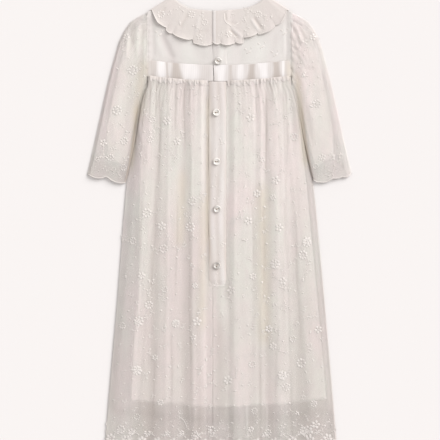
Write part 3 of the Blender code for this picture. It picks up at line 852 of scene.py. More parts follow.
class Stitches:
    """Raised needlework, gathered as (x, depth, lift) points and faces and then laid on cloth."""

    def __init__(self):
        self.points = []
        self.faces = []

    def pad(self, x, depth, length, width, turn, rise, dip=0):
        """A domed oval of satin stitches; dip lowers its middle."""
        first = len(self.points)
        cosine = math.cos(turn)
        sine = math.sin(turn)
        rings = ((1, -CORD_SINK), (0.84, rise * 0.8), (0.5, rise))
        for reach, lift in rings:
            for i in range(PAD_SEGMENTS):
                angle = 2 * math.pi * i / PAD_SEGMENTS
                along = math.cos(angle) * length / 2 * reach
                across = math.sin(angle) * width / 2 * reach
                spot = (x + along * cosine - across * sine, depth + along * sine + across * cosine)
                self.points.append((*spot, lift))
        self.points.append((x, depth, rise - dip))
        for ring in range(len(rings) - 1):
            start = first + ring * PAD_SEGMENTS
            for i in range(PAD_SEGMENTS):
                a = start + i
                b = start + (i + 1) % PAD_SEGMENTS
                self.faces.append((a, a + PAD_SEGMENTS, b + PAD_SEGMENTS, b))
        last = first + (len(rings) - 1) * PAD_SEGMENTS
        for i in range(PAD_SEGMENTS):
            self.faces.append((last + i, first + len(rings) * PAD_SEGMENTS, last + (i + 1) % PAD_SEGMENTS))

    def cord(self, line, width, rise):
        """A rounded cord along a line of (x, depth) points."""
        line = np.asarray(line, dtype=float)
        run = np.gradient(line, axis=0)
        run /= np.maximum(np.linalg.norm(run, axis=1), 1e-6)[:, None]
        side = np.stack([run[:, 1], -run[:, 0]], axis=-1)
        half = ((-0.5, -CORD_SINK), (-0.34, rise * 0.75))
        profile = (*half, (0, rise), *((-share, lift) for share, lift in half[::-1]))
        first = len(self.points)
        for spot, out in zip(line, side):
            for share, lift in profile:
                self.points.append((*(spot + out * width * share), lift))
        step = len(profile)
        for i in range(len(line) - 1):
            for j in range(step - 1):
                a = first + i * step + j
                self.faces.append((a, a + 1, a + step + 1, a + step))
        self.faces.append(tuple(first + j for j in range(step))[::-1])
        end = first + (len(line) - 1) * step
        self.faces.append(tuple(end + j for j in range(step)))

    def lay(self, name, cloths, below=False, shade=None):
        """Lays the stitches on the upper side of the cloths, or on the under side."""
        graph = bpy.context.evaluated_depsgraph_get()
        trees = [BVHTree.FromObject(obj, graph) for obj in cloths]
        way = -1 if below else 1
        start = -1 if below else 1
        laid = []
        missed = set()
        for i, (x, depth, lift) in enumerate(self.points):
            spot = Vector((x, MIDDLE_DEPTH - depth, 0)) * MM
            from_here = Vector((spot.x, spot.y, start))
            hits = [tree.ray_cast(from_here, Vector((0, 0, -way)))[0] for tree in trees]
            levels = [hit.z for hit in hits if hit is not None]
            if not levels:
                found = [tree.find_nearest(Vector((spot.x, spot.y, CLOTH_LEVEL))) for tree in trees]
                nearest = min(found, key=lambda result: result[3])[0]
                levels = [nearest.z]
                if (nearest.xy - spot.xy).length > OVERHANG * MM:
                    missed.add(i)
            level = min(levels) if below else max(levels)
            laid.append((spot.x, spot.y, level + way * lift * MM))
        mesh = bpy.data.meshes.new(name)
        mesh.from_pydata(laid, [], [face for face in self.faces if missed.isdisjoint(face)])
        loose = bmesh.new()
        loose.from_mesh(mesh)
        unused = [spot for spot in loose.verts if not spot.link_faces]
        bmesh.ops.delete(loose, geom=unused, context="VERTS")
        bmesh.ops.recalc_face_normals(loose, faces=loose.faces)
        if sum(face.normal.z for face in loose.faces) * way < 0:
            bmesh.ops.reverse_faces(loose, faces=loose.faces)
        loose.to_mesh(mesh)
        loose.free()
        mesh.shade_smooth()
        if shade:
            spots = np.array([spot.co for spot in mesh.vertices]) / MM
            set_shade(mesh, shade(spots[:, 0], MIDDLE_DEPTH - spots[:, 1]))
        add_piece(name, mesh, THREAD)


# Outlines that several pieces share

def armhole_x(depth):
    """The armhole seam, a nearly upright line from the shoulder to the underarm."""
    share = (depth - ARMHOLE_DEPTH) / (UNDERARM_DEPTH - ARMHOLE_DEPTH)
    return mix(ARMHOLE_X, UNDERARM_X, share) - SEAM


def top_edge(x, neckline):
    """Depth of a yoke panel's top edge: the neckline, then the shoulder slope."""
    slope = ARMHOLE_DEPTH * (np.abs(x) - NECK_HALF) / (ARMHOLE_X - NECK_HALF)
    return np.where(np.abs(x) <= NECK_HALF, column(NECKLINE[neckline], 0, 1, np.abs(x)), slope)


def ribbon_top(x):
    """Depth of the ribbon's upper edge."""
    return RIBBON_DEPTH - RIBBON_RISE * (x / ARMHOLE_X) ** 2


def waist_seam(x):
    """Depth of the seam behind the ribbon, where yoke and lining meet."""
    return ribbon_top(x) + RIBBON_WIDTH / 2


def skirt_half_width(depth):
    """Half the width of the laid skirt at a depth."""
    return column(SKIRT_EDGE, 0, 1, depth)


def skirt_waist(x):
    """Depth of the gathered upper edge of the skirt, just under the ribbon."""
    return ribbon_top(x) + RIBBON_WIDTH + SEAM


def lining_reach(x, depth):
    """How far the skirt lining reaches at a depth, on the side that x lies on."""
    return np.where(x < 0, column(LINING_EDGE, 0, 1, depth), column(LINING_EDGE, 0, 2, depth))


def lining_hem(across):
    """Depth of the lining's hem at a share of the half width."""
    return LINING_HEM - LINING_HEM_RISE * across * across


def lining_end(x):
    """Depth of the wavy hem of the lining's back panel at an x position."""
    across = x / lining_reach(x, LINING_HEM)
    return lining_hem(across) + column(LINING_HEM_WAVES, 0, 1, x)


def hem_edge(x, share, lobes):
    """Depth of the scalloped hem, which rises a little to the sides."""
    rise = HEM_RISE * (x / skirt_half_width(LENGTH)) ** 2
    return LENGTH - rise - SCALLOP_DEPTH * (1 - scallop(share, lobes))


# Skirt

def skirt_share(x, depth):
    """Share of the way from the skirt's side edge to the split at the centre."""
    half = skirt_half_width(depth)
    left = (x + half) / (SKIRT_SPLIT + half)
    right = (half - x) / (half - SKIRT_SPLIT)
    return np.clip(np.where(x < SKIRT_SPLIT, left, right), 0, 1)


def gather_rows():
    """Uneven gathers of one half: (share across, half width, height, length down the skirt)."""
    rows = []
    for i in range(GATHERS_EACH_HALF):
        place = (i + 0.5 + RANDOM.uniform(-0.22, 0.22)) / GATHERS_EACH_HALF
        width = GATHER_WIDTH / GATHERS_EACH_HALF * RANDOM.uniform(0.75, 1.25)
        rows.append((place, width, RANDOM.uniform(*GATHER_HEIGHTS), RANDOM.uniform(*GATHER_LENGTHS)))
    return rows


GATHERS = {LEFT: gather_rows(), RIGHT: gather_rows()}


def gathers(x, depth):
    """Height of the small gathers that fade below the ribbon."""
    down = np.maximum(depth - skirt_waist(x), 0)
    share = skirt_share(x, depth)
    total = np.zeros(np.shape(x))
    for side in (LEFT, RIGHT):
        here = (x < SKIRT_SPLIT) == (side == LEFT)
        for place, width, height, length in GATHERS[side]:
            ridge = height * np.exp(-down / length) * hill((share - place) / (width * (1 + down / 160)))
            total += np.where(here, ridge, 0)
    return total * ease((np.abs(x - PLACKET_MIDDLE) - FLAT_BY_PLACKET + 2) / PUFF_EASE)


def long_folds(x, depth, table):
    """Summed height of the rows of a table of folds that run from the waist to the hem."""
    down = np.clip((depth - skirt_waist(0)) / (LENGTH - skirt_waist(0)), 0, 1)
    total = np.zeros(np.shape(x))
    for waist_x, hem_x, waist_width, hem_width, waist_height, hem_height in table:
        away = (x - mix(waist_x, hem_x, down)) / mix(waist_width, hem_width, down)
        total += mix(waist_height, hem_height, down) * hill(away)
    return total


def skirt_levels(x, depth):
    """Level that the back skirt lies on, and how far it puffs up from there."""
    puff = np.maximum(SKIRT_PUFF - FOLD_SHARE * long_folds(x, depth, SKIRT_FOLDS), 0)
    puff += FOLD_SHARE * long_folds(x, depth, FINE_FOLDS) * ease(puff / 1.2)
    puff -= LINE_DIP * fold_lines(x, depth)
    by_placket = np.abs(x - PLACKET_MIDDLE) - FLAT_BY_PLACKET
    puff = np.maximum(puff, 0) * ease(by_placket / PUFF_EASE)
    half_width = skirt_half_width(depth)
    edge = half_width - np.abs(x)
    room = half_width - lining_reach(x, depth) - LINING_MARGIN
    beside_sleeve = ease((SLEEVE_FREE - depth) / 60)
    fall = ease(edge / np.clip(mix(room, 0, beside_sleeve), NARROW_DROP, SIDE_DROP))
    over_lining = 1 - ease((depth - lining_end(x) - HEM_DROP_START) / HEM_DROP_LENGTH)
    under_arm = UNDERARM_HELD * ease((UNDERARM_END - depth) / 25)
    bottom = mix(INNER_FRONT, OUTER_BACK, np.maximum(fall, under_arm) * over_lining)
    return bottom, (puff + gathers(x, depth)) * ease(edge / mix(SIDE_EASE, NARROW_DROP, beside_sleeve))


def fold_lines(x, depth):
    """Strength of the crisp lines where the cloth turns under itself."""
    total = np.zeros(np.shape(x))
    for top_x, bottom_x, start, end, half_width, amount in FOLD_LINES:
        along = (depth - start) / (end - start)
        sway = LINE_SWAY * np.sin(depth / 23 + top_x)
        ends = ease(along / LINE_START_FADE) * ease((1 - along) / LINE_END_FADE)
        total += amount * ends * hill((x - mix(top_x, bottom_x, along) - sway) / half_width)
    return total


def streak_rows():
    """Soft uneven streaks down the skirt: (x, depth, half width, half length, shade)."""
    rows = []
    for _ in range(STREAK_COUNT):
        depth = RANDOM.uniform(*STREAK_DEPTHS)
        half = float(skirt_half_width(depth))
        width = RANDOM.uniform(*STREAK_HALF_WIDTHS)
        amount = RANDOM.uniform(*STREAK_SHADES)
        x = RANDOM.uniform(-half, half)
        rows.append((x, depth, width, RANDOM.uniform(*STREAK_HALF_LENGTHS), amount))
    return rows


STREAKS = streak_rows()


def beside_lining(x, depth):
    """1 on the strips beyond the lining's side edges, 0 elsewhere."""
    return ease((np.abs(x) - lining_reach(x, depth)) / 2) * ease((depth - SHEER_START) / 60)


def sheer(x, depth):
    """1 where the skirt has no lining behind it, 0 where it has."""
    return np.maximum(ease((depth - lining_end(x)) / 2), beside_lining(x, depth))


def side_shade(near, close, depth):
    """Shade where skirt and sleeve meet: soft when near, with a dark line close to the edge."""
    line = SIDE_LINE_SHADE * hill(close) * ease((depth - SIDE_LINE_START) / 30)
    return SIDE_SHADE * hill(near) + line


def skirt_shade(x, depth):
    """Shade of the skirt: its folds, the sides by the sleeves, the opening and the lower part."""
    shade = FOLD_SHADE * long_folds(x, depth, SKIRT_FOLDS)
    shade -= FINE_FOLD_SHADE * long_folds(x, depth, FINE_FOLDS)
    for middle, at, half_width, half_length, amount in STREAKS:
        shade += amount * hill((x - middle) / half_width) * hill((depth - at) / half_length)
    shade += LINE_SHADE * fold_lines(x, depth)
    to_side = (skirt_half_width(depth) - np.abs(x)) / SIDE_SHADE_WIDTH
    shade += side_shade(to_side, to_side * 4, depth) * ease((SIDE_SHADE_END - depth) / 60)
    shade += SHEER_SHADE * sheer(x, depth)
    strip = np.where(x < 0, STRIP_SHADES[LEFT], STRIP_SHADES[RIGHT])
    shade += strip * beside_lining(x, depth)
    down = np.maximum(depth - skirt_waist(x), 0)
    shade += WAIST_SHADE * (1 - gathers(x, depth)) * np.exp(-down / WAIST_SHADE_LENGTH)
    for middle, half_width, start, end, amount in OPENING_SHADES:
        shade += amount * span(depth, start, end, 30) * hill((x - middle) / half_width)
    below = depth - LOWER_START
    shade += RIGHT_EDGE_SHADE * ease((x - RIGHT_EDGE_START) / 30) * ease(below / 60)
    return shade + SKIRT_TONE + LEFT_SHADE * (x < 0) + LOWER_SHADE * ease(below / LOWER_LENGTH)


def skirt_back(word, side):
    """One gathered half of the back skirt."""
    split = SKIRT_SPLIT + side * SEAM / 2

    def place(u, v):
        waist = skirt_waist(mix(side * ARMHOLE_X, split, u))
        hem = hem_edge(mix(side * skirt_half_width(LENGTH), split, u), u, SCALLOPS_EACH_HALF)
        depth = mix(waist, hem, v ** 1.25)
        x = mix(side * skirt_half_width(depth) + column(SKIRT_LEAN, 0, 1, depth), split, u)
        bottom, puff = skirt_levels(x, depth)
        return x, depth, bottom + puff

    obj = cloth("skirt_back_" + word, 130, 200, place, NET_THICKNESS, NET, "lace", shade=skirt_shade)
    return obj


def skirt_front():
    """The front skirt, which lies flat on the surface."""

    def place(u, v):
        across = 2 * u - 1
        top_half = skirt_half_width(skirt_waist(ARMHOLE_X)) - SEAM
        hem = hem_edge(across * skirt_half_width(LENGTH), u, 2 * SCALLOPS_EACH_HALF)
        depth = mix(skirt_waist(across * top_half), hem, v)
        x = across * np.where(v == 0, top_half, skirt_half_width(depth)) + column(SKIRT_LEAN, 0, 1, depth)
        return x, depth, OUTER_FRONT

    def shade(x, depth):
        # The whole front is painted in deep shade, with uneven waves
        return FRONT_SHADE + FRONT_WAVE_SHADE * uneven_wave(x, *FRONT_WAVES)

    obj = cloth("skirt_front", 168, 40, place, NET_THICKNESS, NET, "lace", shade=shade)
    return obj


def skirt_lining(name, layer, follows):
    """A lining panel from the waist seam to its plain hem."""

    def place(u, v):
        across = 2 * u - 1
        top = waist_seam(across * lining_reach(across, LINING_EDGE[0][0])) + SEAM / 2
        hem_x = across * lining_reach(across, LINING_HEM)
        hem = lining_hem(across) + column(LINING_HEM_WAVES, 0, 1, hem_x) * follows
        depth = mix(top, hem, v)
        x = across * lining_reach(across, depth)
        bottom, puff = skirt_levels(x, depth)
        lower = np.minimum(bottom, OUTER_BACK) - OUTER_BACK
        under_skirt = ease((depth - skirt_waist(x)) / LINING_START)
        return x, depth, layer + follows * (puff * LINING_FOLLOWS * under_skirt + lower)

    size = (110, 120) if follows else (50, 40)
    obj = cloth(name, *size, place, LINING_THICKNESS, LINING, "lining", shade=skirt_shade)


def opening_lean(depth):
    """How far the edge of the opening still leans to the left at a depth, 1 to 0."""
    return 1 - ease((depth - LEAN_START) / LEAN_LENGTH)


def cord_phase(x, depth):
    """Phase of the narrow wavy creases that run down the bands."""
    return x / 1.9 + 1.5 * np.sin(depth / 43)


def placket(name, left, right, top, bottom, layer, material, slot, ground, over_skirt=False, slant=0):
    """A band of cloth beside the opening, with soft unevenness over the shade of its ground."""

    def place(u, v):
        x = mix(left, right, u)
        depth = mix(top(x), bottom(x), v)
        wave = 0.18 * np.sin(depth / 17) + 0.12 * np.sin(depth / 7.3 + x / 9)
        crown = -PLACKET_CROWN * np.abs(2 * u - 1) ** 3
        sink = -PLACKET_SINK * ease((v - PLACKET_SINK_START) / (1 - PLACKET_SINK_START))
        cords = PLACKET_CREASE * np.sin(cord_phase(x, depth))
        height = layer + wave + crown + over_skirt * (sink + cords)
        return x + slant * (1 - opening_lean(depth)), depth, height

    def shade(x, depth):
        # Painted shade: uneven patches, shade on one slope of each crease, and shade along both edges
        patches = 0.12 * np.sin(depth / 19 + 0.8 * np.sin(x / 4)) + 0.1 * np.sin(depth / 11 - x / 2.5)
        patches = patches + PLACKET_CREASE_SHADE * np.sin(cord_phase(x, depth) + 2.2)
        by_edge = PLACKET_LEFT_SHADE * hill((x - left) / 3) + PLACKET_RIGHT_SHADE * hill((right - x) / 4)
        return ground(x, depth) + patches + by_edge + PLACKET_TONE * over_skirt

    return cloth(name, 26, 180, place, YOKE_THICKNESS, material, slot, shade=shade)


def build_skirt():
    """Skirt, linings and the long placket."""
    pieces = {"front": skirt_front()}
    skirt_lining("lining_front", INNER_FRONT, 0)
    skirt_lining("lining_back", INNER_BACK, 1)
    for word, side in SIDES:
        pieces[word] = skirt_back(word, side)
    pieces["placket"] = placket(
        "placket_skirt", PLACKET_LEFT, PLACKET_LEFT + PLACKET_WIDTH, skirt_waist,
        lambda x: PLACKET_END, OVERLAP, COLLAR, "lace", skirt_shade, over_skirt=True,
    )
    return pieces


# Yoke and ribbon

def yoke_shade(x, depth):
    """Shade of the yoke: its creases, the armhole seams and the gathers beside the left one."""
    by_seam = hill((np.abs(x) - ARMHOLE_X + 5) / 2.5)
    uneven = ARMHOLE_SHADE + ARMHOLE_WAVE_SHADE * uneven_wave(depth, *ARMHOLE_WAVES)
    gathered = (x < 0) * hill((x + ARMHOLE_X) / 6) * uneven
    folds = CREASE_SHADE * creases(x, depth, YOKE_CREASES)
    return YOKE_TONE - folds + YOKE_SIDE_SHADE * (by_seam + (x < 0)) + gathered


def yoke(name, neckline, start, end, layer, folded):
    """One yoke panel between two x positions."""

    def place(u, v):
        x = mix(start, end, u)
        depth = mix(top_edge(x, neckline), waist_seam(x) - SEAM / 2, v)
        seam = armhole_x(np.maximum(depth, ARMHOLE_DEPTH))
        narrowed = mix(1, seam / (ARMHOLE_X - SEAM), ease((np.abs(x) - NECK_HALF) / 30))
        x = x * np.where(np.abs(x) > NECK_HALF, narrowed, 1)
        folds = creases(x, depth, YOKE_CREASES) + 0.15 * np.sin(x / 6 + depth / 11)
        free = ease((ribbon_top(x) - 3 - depth) / 8)
        lip = folded * ease((np.abs(x) - ARMHOLE_X + LIP_WIDTH) / LIP_WIDTH)
        bulge = np.sin(np.pi * np.clip(lip, 0, 1)) * LIP_BULGE
        lip = lip * np.where(x < 0, 1 - LIP_UNEVEN + LIP_UNEVEN * uneven_wave(depth, *LIP_WAVES), 1)
        height = layer + folded * (0.7 * folds * free) + LIP_RISE * lip + bulge
        return x + np.sign(x) * LIP_REACH * lip, depth, height

    size = (110, 60) if folded else (80, 40)
    obj = cloth(name, *size, place, YOKE_THICKNESS, YOKE, "yoke_cloth", shade=yoke_shade)
    return obj


def pucker_light_and_shade(x, down):
    """Painted light and shade of the ribbon's puckers, from painted shade below 0 to painted highlight
    above, with soft edges.
    """
    total = np.zeros(np.shape(x))
    for middle, half_width, lean, tone in RIBBON_PUCKERS:
        away = (x - middle - lean * (down - 0.5)) / (half_width * (0.9 + 0.25 * np.sin(3 * down + middle)))
        total += tone * np.exp(-np.abs(away) ** 4)
    return total


def ribbon(name, start, end, layer, puckered):
    """A stretch of satin ribbon with uneven upright puckers."""

    def place(u, v):
        x = mix(start, end, u)
        depth = ribbon_top(x) + RIBBON_WIDTH * v
        lift = 0
        if puckered:
            x = x - PLACKET_REACH * opening_lean(depth) * hill((x - RIGHT_HALF_EDGE) / 10)
            lift = pucker_heights(x, v)
            depth = depth + 0.25 * pucker_light_and_shade(x, v) * (2 * v - 1)
            turned = ease((np.abs(x) - ARMHOLE_X + LIP_WIDTH) / LIP_WIDTH)
            x = x + np.sign(x) * RIBBON_REACH * turned
            lift = lift - turned
        return x, depth, layer + lift

    def shade(x, depth):
        down = (depth - ribbon_top(x)) / RIBBON_WIDTH
        if not puckered:
            return np.full(np.shape(x), RIBBON_FRONT_TONE)
        end = RIBBON_END_SHADE * hill((np.abs(x) - ARMHOLE_X - RIBBON_REACH) / 4)
        fine = RIBBON_FINE_SHADE * np.sin(x * 1.9 + 2 * down)
        return RIBBON_TONE - PUCKER_SHADE * pucker_light_and_shade(x, down) + end + fine

    columns = 260 if puckered else 60
    obj = cloth(name, columns, 24, place, RIBBON_THICKNESS, SATIN, "satin_ribbon", shade=shade)


def pucker_heights(x, down):
    """Height of the puckers: bright stretches face up and to the right, dark ones to the left."""
    slope = pucker_light_and_shade(PUCKER_LINE, 0.5)
    slope = slope - slope.mean()
    height = -np.cumsum(slope) * (PUCKER_LINE[1] - PUCKER_LINE[0]) * PUCKER_SLOPE
    height = height - np.interp(PUCKER_LINE, PUCKER_LINE[[0, -1]], height[[0, -1]])
    height = (height - height.min()) / (height.max() - height.min()) * 2 * RIBBON_PUCKER_HEIGHT
    belly = 0.35 + 0.65 * np.sin(np.pi * np.clip(down, 0, 1)) ** 0.7
    return np.interp(x, PUCKER_LINE, height) * belly + 0.1 * np.sin(x / 2.1 + 3 * down)


def build_bodice():
    """Yoke panels, their placket, and the ribbon."""
    yoke("yoke_front", "front", -ARMHOLE_X, ARMHOLE_X, INNER_FRONT, 0)
    pieces = {
        "left": yoke("yoke_back_left", "back", -ARMHOLE_X, LEFT_HALF_EDGE, INNER_BACK, 1),
        "right": yoke("yoke_back_right", "back", RIGHT_HALF_EDGE, ARMHOLE_X, INNER_BACK, 1),
    }
    ribbon("ribbon_front", -ARMHOLE_X, ARMHOLE_X, OUTER_FRONT, False)
    ribbon("ribbon_back_left", -ARMHOLE_X, RIBBON_LEFT_END, OUTER_BACK, True)
    ribbon("ribbon_back_right", RIBBON_RIGHT_START, ARMHOLE_X, OUTER_BACK, True)
    pieces["placket"] = placket(
        "placket_yoke", RIGHT_HALF_EDGE - PLACKET_REACH, RIGHT_HALF_EDGE + YOKE_PLACKET_WIDTH,
        lambda x: top_edge(x, "back"), lambda x: ribbon_top(x) - SEAM,
        OUTER_BACK, YOKE, "yoke_cloth", yoke_shade, slant=PLACKET_REACH,
    )
    return pieces


def frill_wave(share):
    """Uneven waves of the frill."""
    return np.sin(2 * np.pi * (FRILL_WAVES * share + 0.35 * np.sin(9 * share) + 0.2 * np.sin(23 * share)))


def frill(word, side):
    """A narrow gathered frill that peeps out under the ribbon."""
    start, end = FRILL_SPAN[side]

    def place(u, v):
        x = mix(start, end, u)
        wave = frill_wave(u)
        uneven = np.sin(41 * u + 2 * np.sin(17 * u))
        depth = skirt_waist(x) - 1.5 + (FRILL_DEPTH + 1.2 * wave + 1.8 * uneven) * v
        x = x + v * (0.5 * np.cos(2 * np.pi * FRILL_WAVES * u) + 0.8 * uneven)
        bottom, puff = skirt_levels(x, np.maximum(depth, skirt_waist(x)))
        lift = 0.4 + 0.6 * np.sin(np.pi * v) + (0.3 + 0.3 * wave) * v
        return x, depth, bottom + puff * 0.9 + lift - 0.5 * v

    def shade(x, depth):
        down = (depth - skirt_waist(x)) / FRILL_DEPTH
        waves = FRILL_WAVE_SHADE * uneven_wave(x, *FRILL_SHADE_WAVES)
        return FRILL_TONE + waves + FRILL_TOP_SHADE * hill((down - 0.1) / 0.25)

    obj = cloth(
        "waist_frill_" + word, 240, 10, place, NET_THICKNESS, COLLAR, "lace",
        solid="skirt_back_" + word, shade=shade,
    )


# Collar

def collar_line(table, edge, share):
    """Neckline and outer point of the collar a share of the way from its edge to the shoulder."""
    last = len(table) - 1
    points = [np.interp(share * last, range(last + 1), [row[i] for row in table]) for i in range(4)]
    points[0] = mix(edge, NECK_HALF, points[0] / NECK_HALF)
    points[2] = mix(edge, table[-1][2], points[2] / table[-1][2])
    return points


def lobe_wave(side, share):
    """How far out the ruffled edge reaches, how high its lobe rises, and how far it is drawn back."""
    bounds = COLLAR_LOBES[side]
    place = np.interp(share, bounds, range(len(bounds)))
    lobe = np.clip(place.astype(int), 0, len(bounds) - 2)
    along = np.clip(place - lobe, 0, 1)
    reach = np.sin(np.pi * along)
    insets = np.asarray(COLLAR_INSETS[side])[lobe]
    ruffle = reach * np.asarray(COLLAR_RUFFLES[side])[lobe]
    return reach, ruffle, mix(insets[..., 0], insets[..., 1], along)


def collar_back(side, share, v):
    """The ruffled back of a collar half."""
    neck_x, neck_depth, outer_x, outer_depth = collar_line(COLLAR_BACK, COLLAR_BACK_EDGE[side], share)
    reach, ruffle, inset = lobe_wave(side, share)
    out = v * (1 - (COLLAR_SCALLOP * (1 - reach ** 0.6) + inset) / COLLAR_WIDTH * v)
    x = side * mix(neck_x, outer_x, out)
    depth = mix(neck_depth, outer_depth, out)
    placket_end = RIGHT_HALF_EDGE + YOKE_PLACKET_WIDTH
    over = 0
    if side == RIGHT:
        over = LAYER * (1 - ease((x - placket_end - 1) / COLLAR_STEP_EASE))
        over = over * mix(0.4, 1, ease((x - COLLAR_BACK_EDGE[RIGHT] * side) / COLLAR_EDGE_ROUND))
    pleats = COLLAR_PLEAT_RISE * np.sin(2 * np.pi * COLLAR_PLEATS * share + 4 * v) * v ** 2
    belly = COLLAR_BELLY * np.sin(np.pi * np.clip(v, 0, 1))
    lift = ruffle * v ** 8 + belly + pleats + creases(x, depth, COLLAR_CREASES)
    return x, depth, OUTER_BACK + over + lift * ease(1 - np.maximum(share - 0.93, 0) / 0.07)


def collar(word, side):
    """One collar half: ruffled on the back, folded over the shoulder, flat on the front."""
    out = Vector((ARMHOLE_DEPTH, ARMHOLE_X - NECK_HALF)).normalized()

    def place(u, v):
        share = u / COLLAR_BACK_END
        x, depth, height = collar_back(side, np.clip(share, 0, 1), v)
        line = collar_line(COLLAR_BACK, COLLAR_BACK_EDGE[side], np.ones(np.shape(u)))
        angle = np.pi * np.clip((u - COLLAR_BACK_END) / (COLLAR_FOLD_END - COLLAR_BACK_END), 0, 1)
        away = COLLAR_FOLD_RADIUS * np.sin(angle)
        fold_x = side * (mix(line[0], line[2], v) + out.x * away)
        fold_depth = mix(line[1], line[3], v) - out.y * away
        fold_height = (OUTER_FRONT + OUTER_BACK) / 2 + COLLAR_FOLD_RADIUS * np.cos(angle)
        last = np.clip(1 - (u - COLLAR_FOLD_END) / (1 - COLLAR_FOLD_END), 0, 1)
        front = collar_line(COLLAR_FRONT, COLLAR_FRONT_EDGE, last)
        zones = [u <= COLLAR_BACK_END, u <= COLLAR_FOLD_END]
        return (
            np.select(zones, [x, fold_x], side * mix(front[0], front[2], v)),
            np.select(zones, [depth, fold_depth], mix(front[1], front[3], v)),
            np.select(zones, [height, fold_height], OUTER_FRONT),
        )

    def shade(x, depth):
        # Painted highlight on the folded strip, a painted dark line at its end, and painted shade in the
        # creases
        strip_light_and_shade = hill((x - COLLAR_STRIP_END) / 0.8) - ease((COLLAR_STRIP_END - x) / 1.5)
        folds = CREASE_SHADE * creases(x, depth, COLLAR_CREASES)
        return COLLAR_TONE - folds + COLLAR_STRIP_SHADE * strip_light_and_shade * (side == RIGHT)

    obj = cloth("collar_" + word, 250, 30, place, NET_THICKNESS, COLLAR, "lace", shade=shade)
    return obj


# Sleeves

def sleeve_line(share):
    """Ends and puff of the line across the sleeve, a share of the way to the cuff."""
    last = len(SLEEVE) - 1
    at = share * last
    outer_x, outer_depth, inner_depth, puff = (
        np.interp(at, range(last + 1), [row[i] for row in SLEEVE]) for i in range(4)
    )
    apart = column(SLEEVE_CLEARANCE, 0, 1, inner_depth)
    inner_x = np.maximum(skirt_half_width(inner_depth) + apart, UNDERARM_X + SLEEVE_SEAM)
    return outer_x, outer_depth, inner_x, inner_depth, puff


def sleeve_share(out, depth):
    """Share of the way down the sleeve of a place that lies out from the centre line."""
    run = np.hypot(out - SLEEVE[0][0], depth - SLEEVE[0][1])
    return np.interp(run, SLEEVE_RUN, np.linspace(0, 1, len(SLEEVE)))


def sleeve_gathers(side, across, share):
    """Uneven gathers where the sleeve is sewn into the armhole."""
    waves = SLEEVE_GATHERS * across + 0.5 * np.sin(5 * across + side) + 0.3 * np.sin(13 * across)
    rise = 0.5 - 0.5 * np.cos(2 * np.pi * waves)
    return SLEEVE_GATHER_HEIGHT * rise * np.exp(-share / SLEEVE_GATHER_FADE)


def tube_share(u):
    """Place round a flat tube: the share across it, and whether that is on the upper wall."""
    flat = np.where(u < 0.5, 2 * u, 2 - 2 * u)
    across = mix(flat, 0.5 - 0.5 * np.cos(np.pi * flat), 0.35)
    return across, np.where(u < 0.5, 1, -1)


def sleeve_point(side, across, v):
    """Place in plan of a point across and down the sleeve, and the sleeve's width and puff there."""
    outer_x, outer_depth, inner_x, inner_depth, puff = sleeve_line(v)
    run_x = inner_x - outer_x
    run_depth = inner_depth - outer_depth
    width = np.hypot(run_x, run_depth)
    last = sleeve_line(1)
    end_x = last[2] - last[0]
    end_depth = last[3] - last[1]
    end = math.hypot(end_x, end_depth)
    cuff = ease((v - CUFF_START) / (1 - CUFF_START)) * column(CUFF_EDGE[side], 0, 1, across)
    x = outer_x + run_x * across + end_depth / end * cuff
    depth = outer_depth + run_depth * across - end_x / end * cuff
    return x, depth, width, puff


def sleeve(word, side):
    """A flat-laid sleeve: puffed on top, gathered at the armhole, scalloped at the cuff."""

    def place(u, v):
        across, wall = tube_share(u)
        x, depth, width, puff = sleeve_point(side, across, v)
        to_outer = across * width / SLEEVE_OUTER_EDGE[side]
        to_inner = (1 - across) * width / SLEEVE_INNER_EDGE
        rounded = np.sqrt(np.maximum(1 - (1 - np.clip(to_inner, 0, 1)) ** 2, 0))
        level = (0.5 + 0.5 * wall * rounded) * (0.2 + 0.8 * ease(to_outer))
        to_edge = np.minimum(to_outer, to_inner)
        folds = SLEEVE_CREASE_SHARE * creases(x, depth, SLEEVE_CREASES[side])
        folds = folds + SLEEVE_RIPPLE * np.sin(x / 5 - depth / 13)
        arch = PUFF_SHARE[side] * puff * np.sin(np.pi * across)
        top = SLEEVE_LEVEL + arch + (sleeve_gathers(side, across, v) + folds) * ease(to_edge / 1.5)
        lower = mix(OUTER_FRONT, OUTER_FRONT + 0.3, wall * 0.5 + 0.5)
        return side * x, depth, mix(lower, np.maximum(top, SLEEVE_LEVEL), level)

    def shade(x, depth):
        out = side * x
        share = sleeve_share(out, depth)
        outer_x, outer_depth, inner_x, inner_depth, _ = sleeve_line(share)
        across = (out - outer_x) / (inner_x - outer_x)
        strip = ease((lining_outer(side, share) + 0.03 - across) / 0.06)
        inner = side_shade((across - 1) / 0.14, (across - 1) / 0.04, depth)
        cuff = ease((share - SLEEVE_LINING_END - SLEEVE_LINING_SLANT * across) / 0.02)
        folds = creases(out, depth, SLEEVE_CREASES[side])
        by_strip, by_cuff = UNLINED_SHADES[side]
        unlined = np.maximum(by_strip * strip, by_cuff * cuff)
        shaded_side = inner * ease((depth - SLEEVE_SIDE_START) / 50)
        return SLEEVE_SHADES[side] - SLEEVE_CREASE_SHADE * folds + unlined + shaded_side

    obj = cloth("sleeve_" + word, 132, 90, place, NET_THICKNESS, NET, "lace", closed=True, shade=shade)
    return obj


def lining_outer(side, share):
    """Share across the sleeve where its lining starts, with a rounded corner at its end."""
    down = share / SLEEVE_LINING_END
    return mix(*SLEEVE_LINING_OUTER, down) + SLEEVE_LINING_CORNER[side] * ease((down - 0.86) / 0.14)


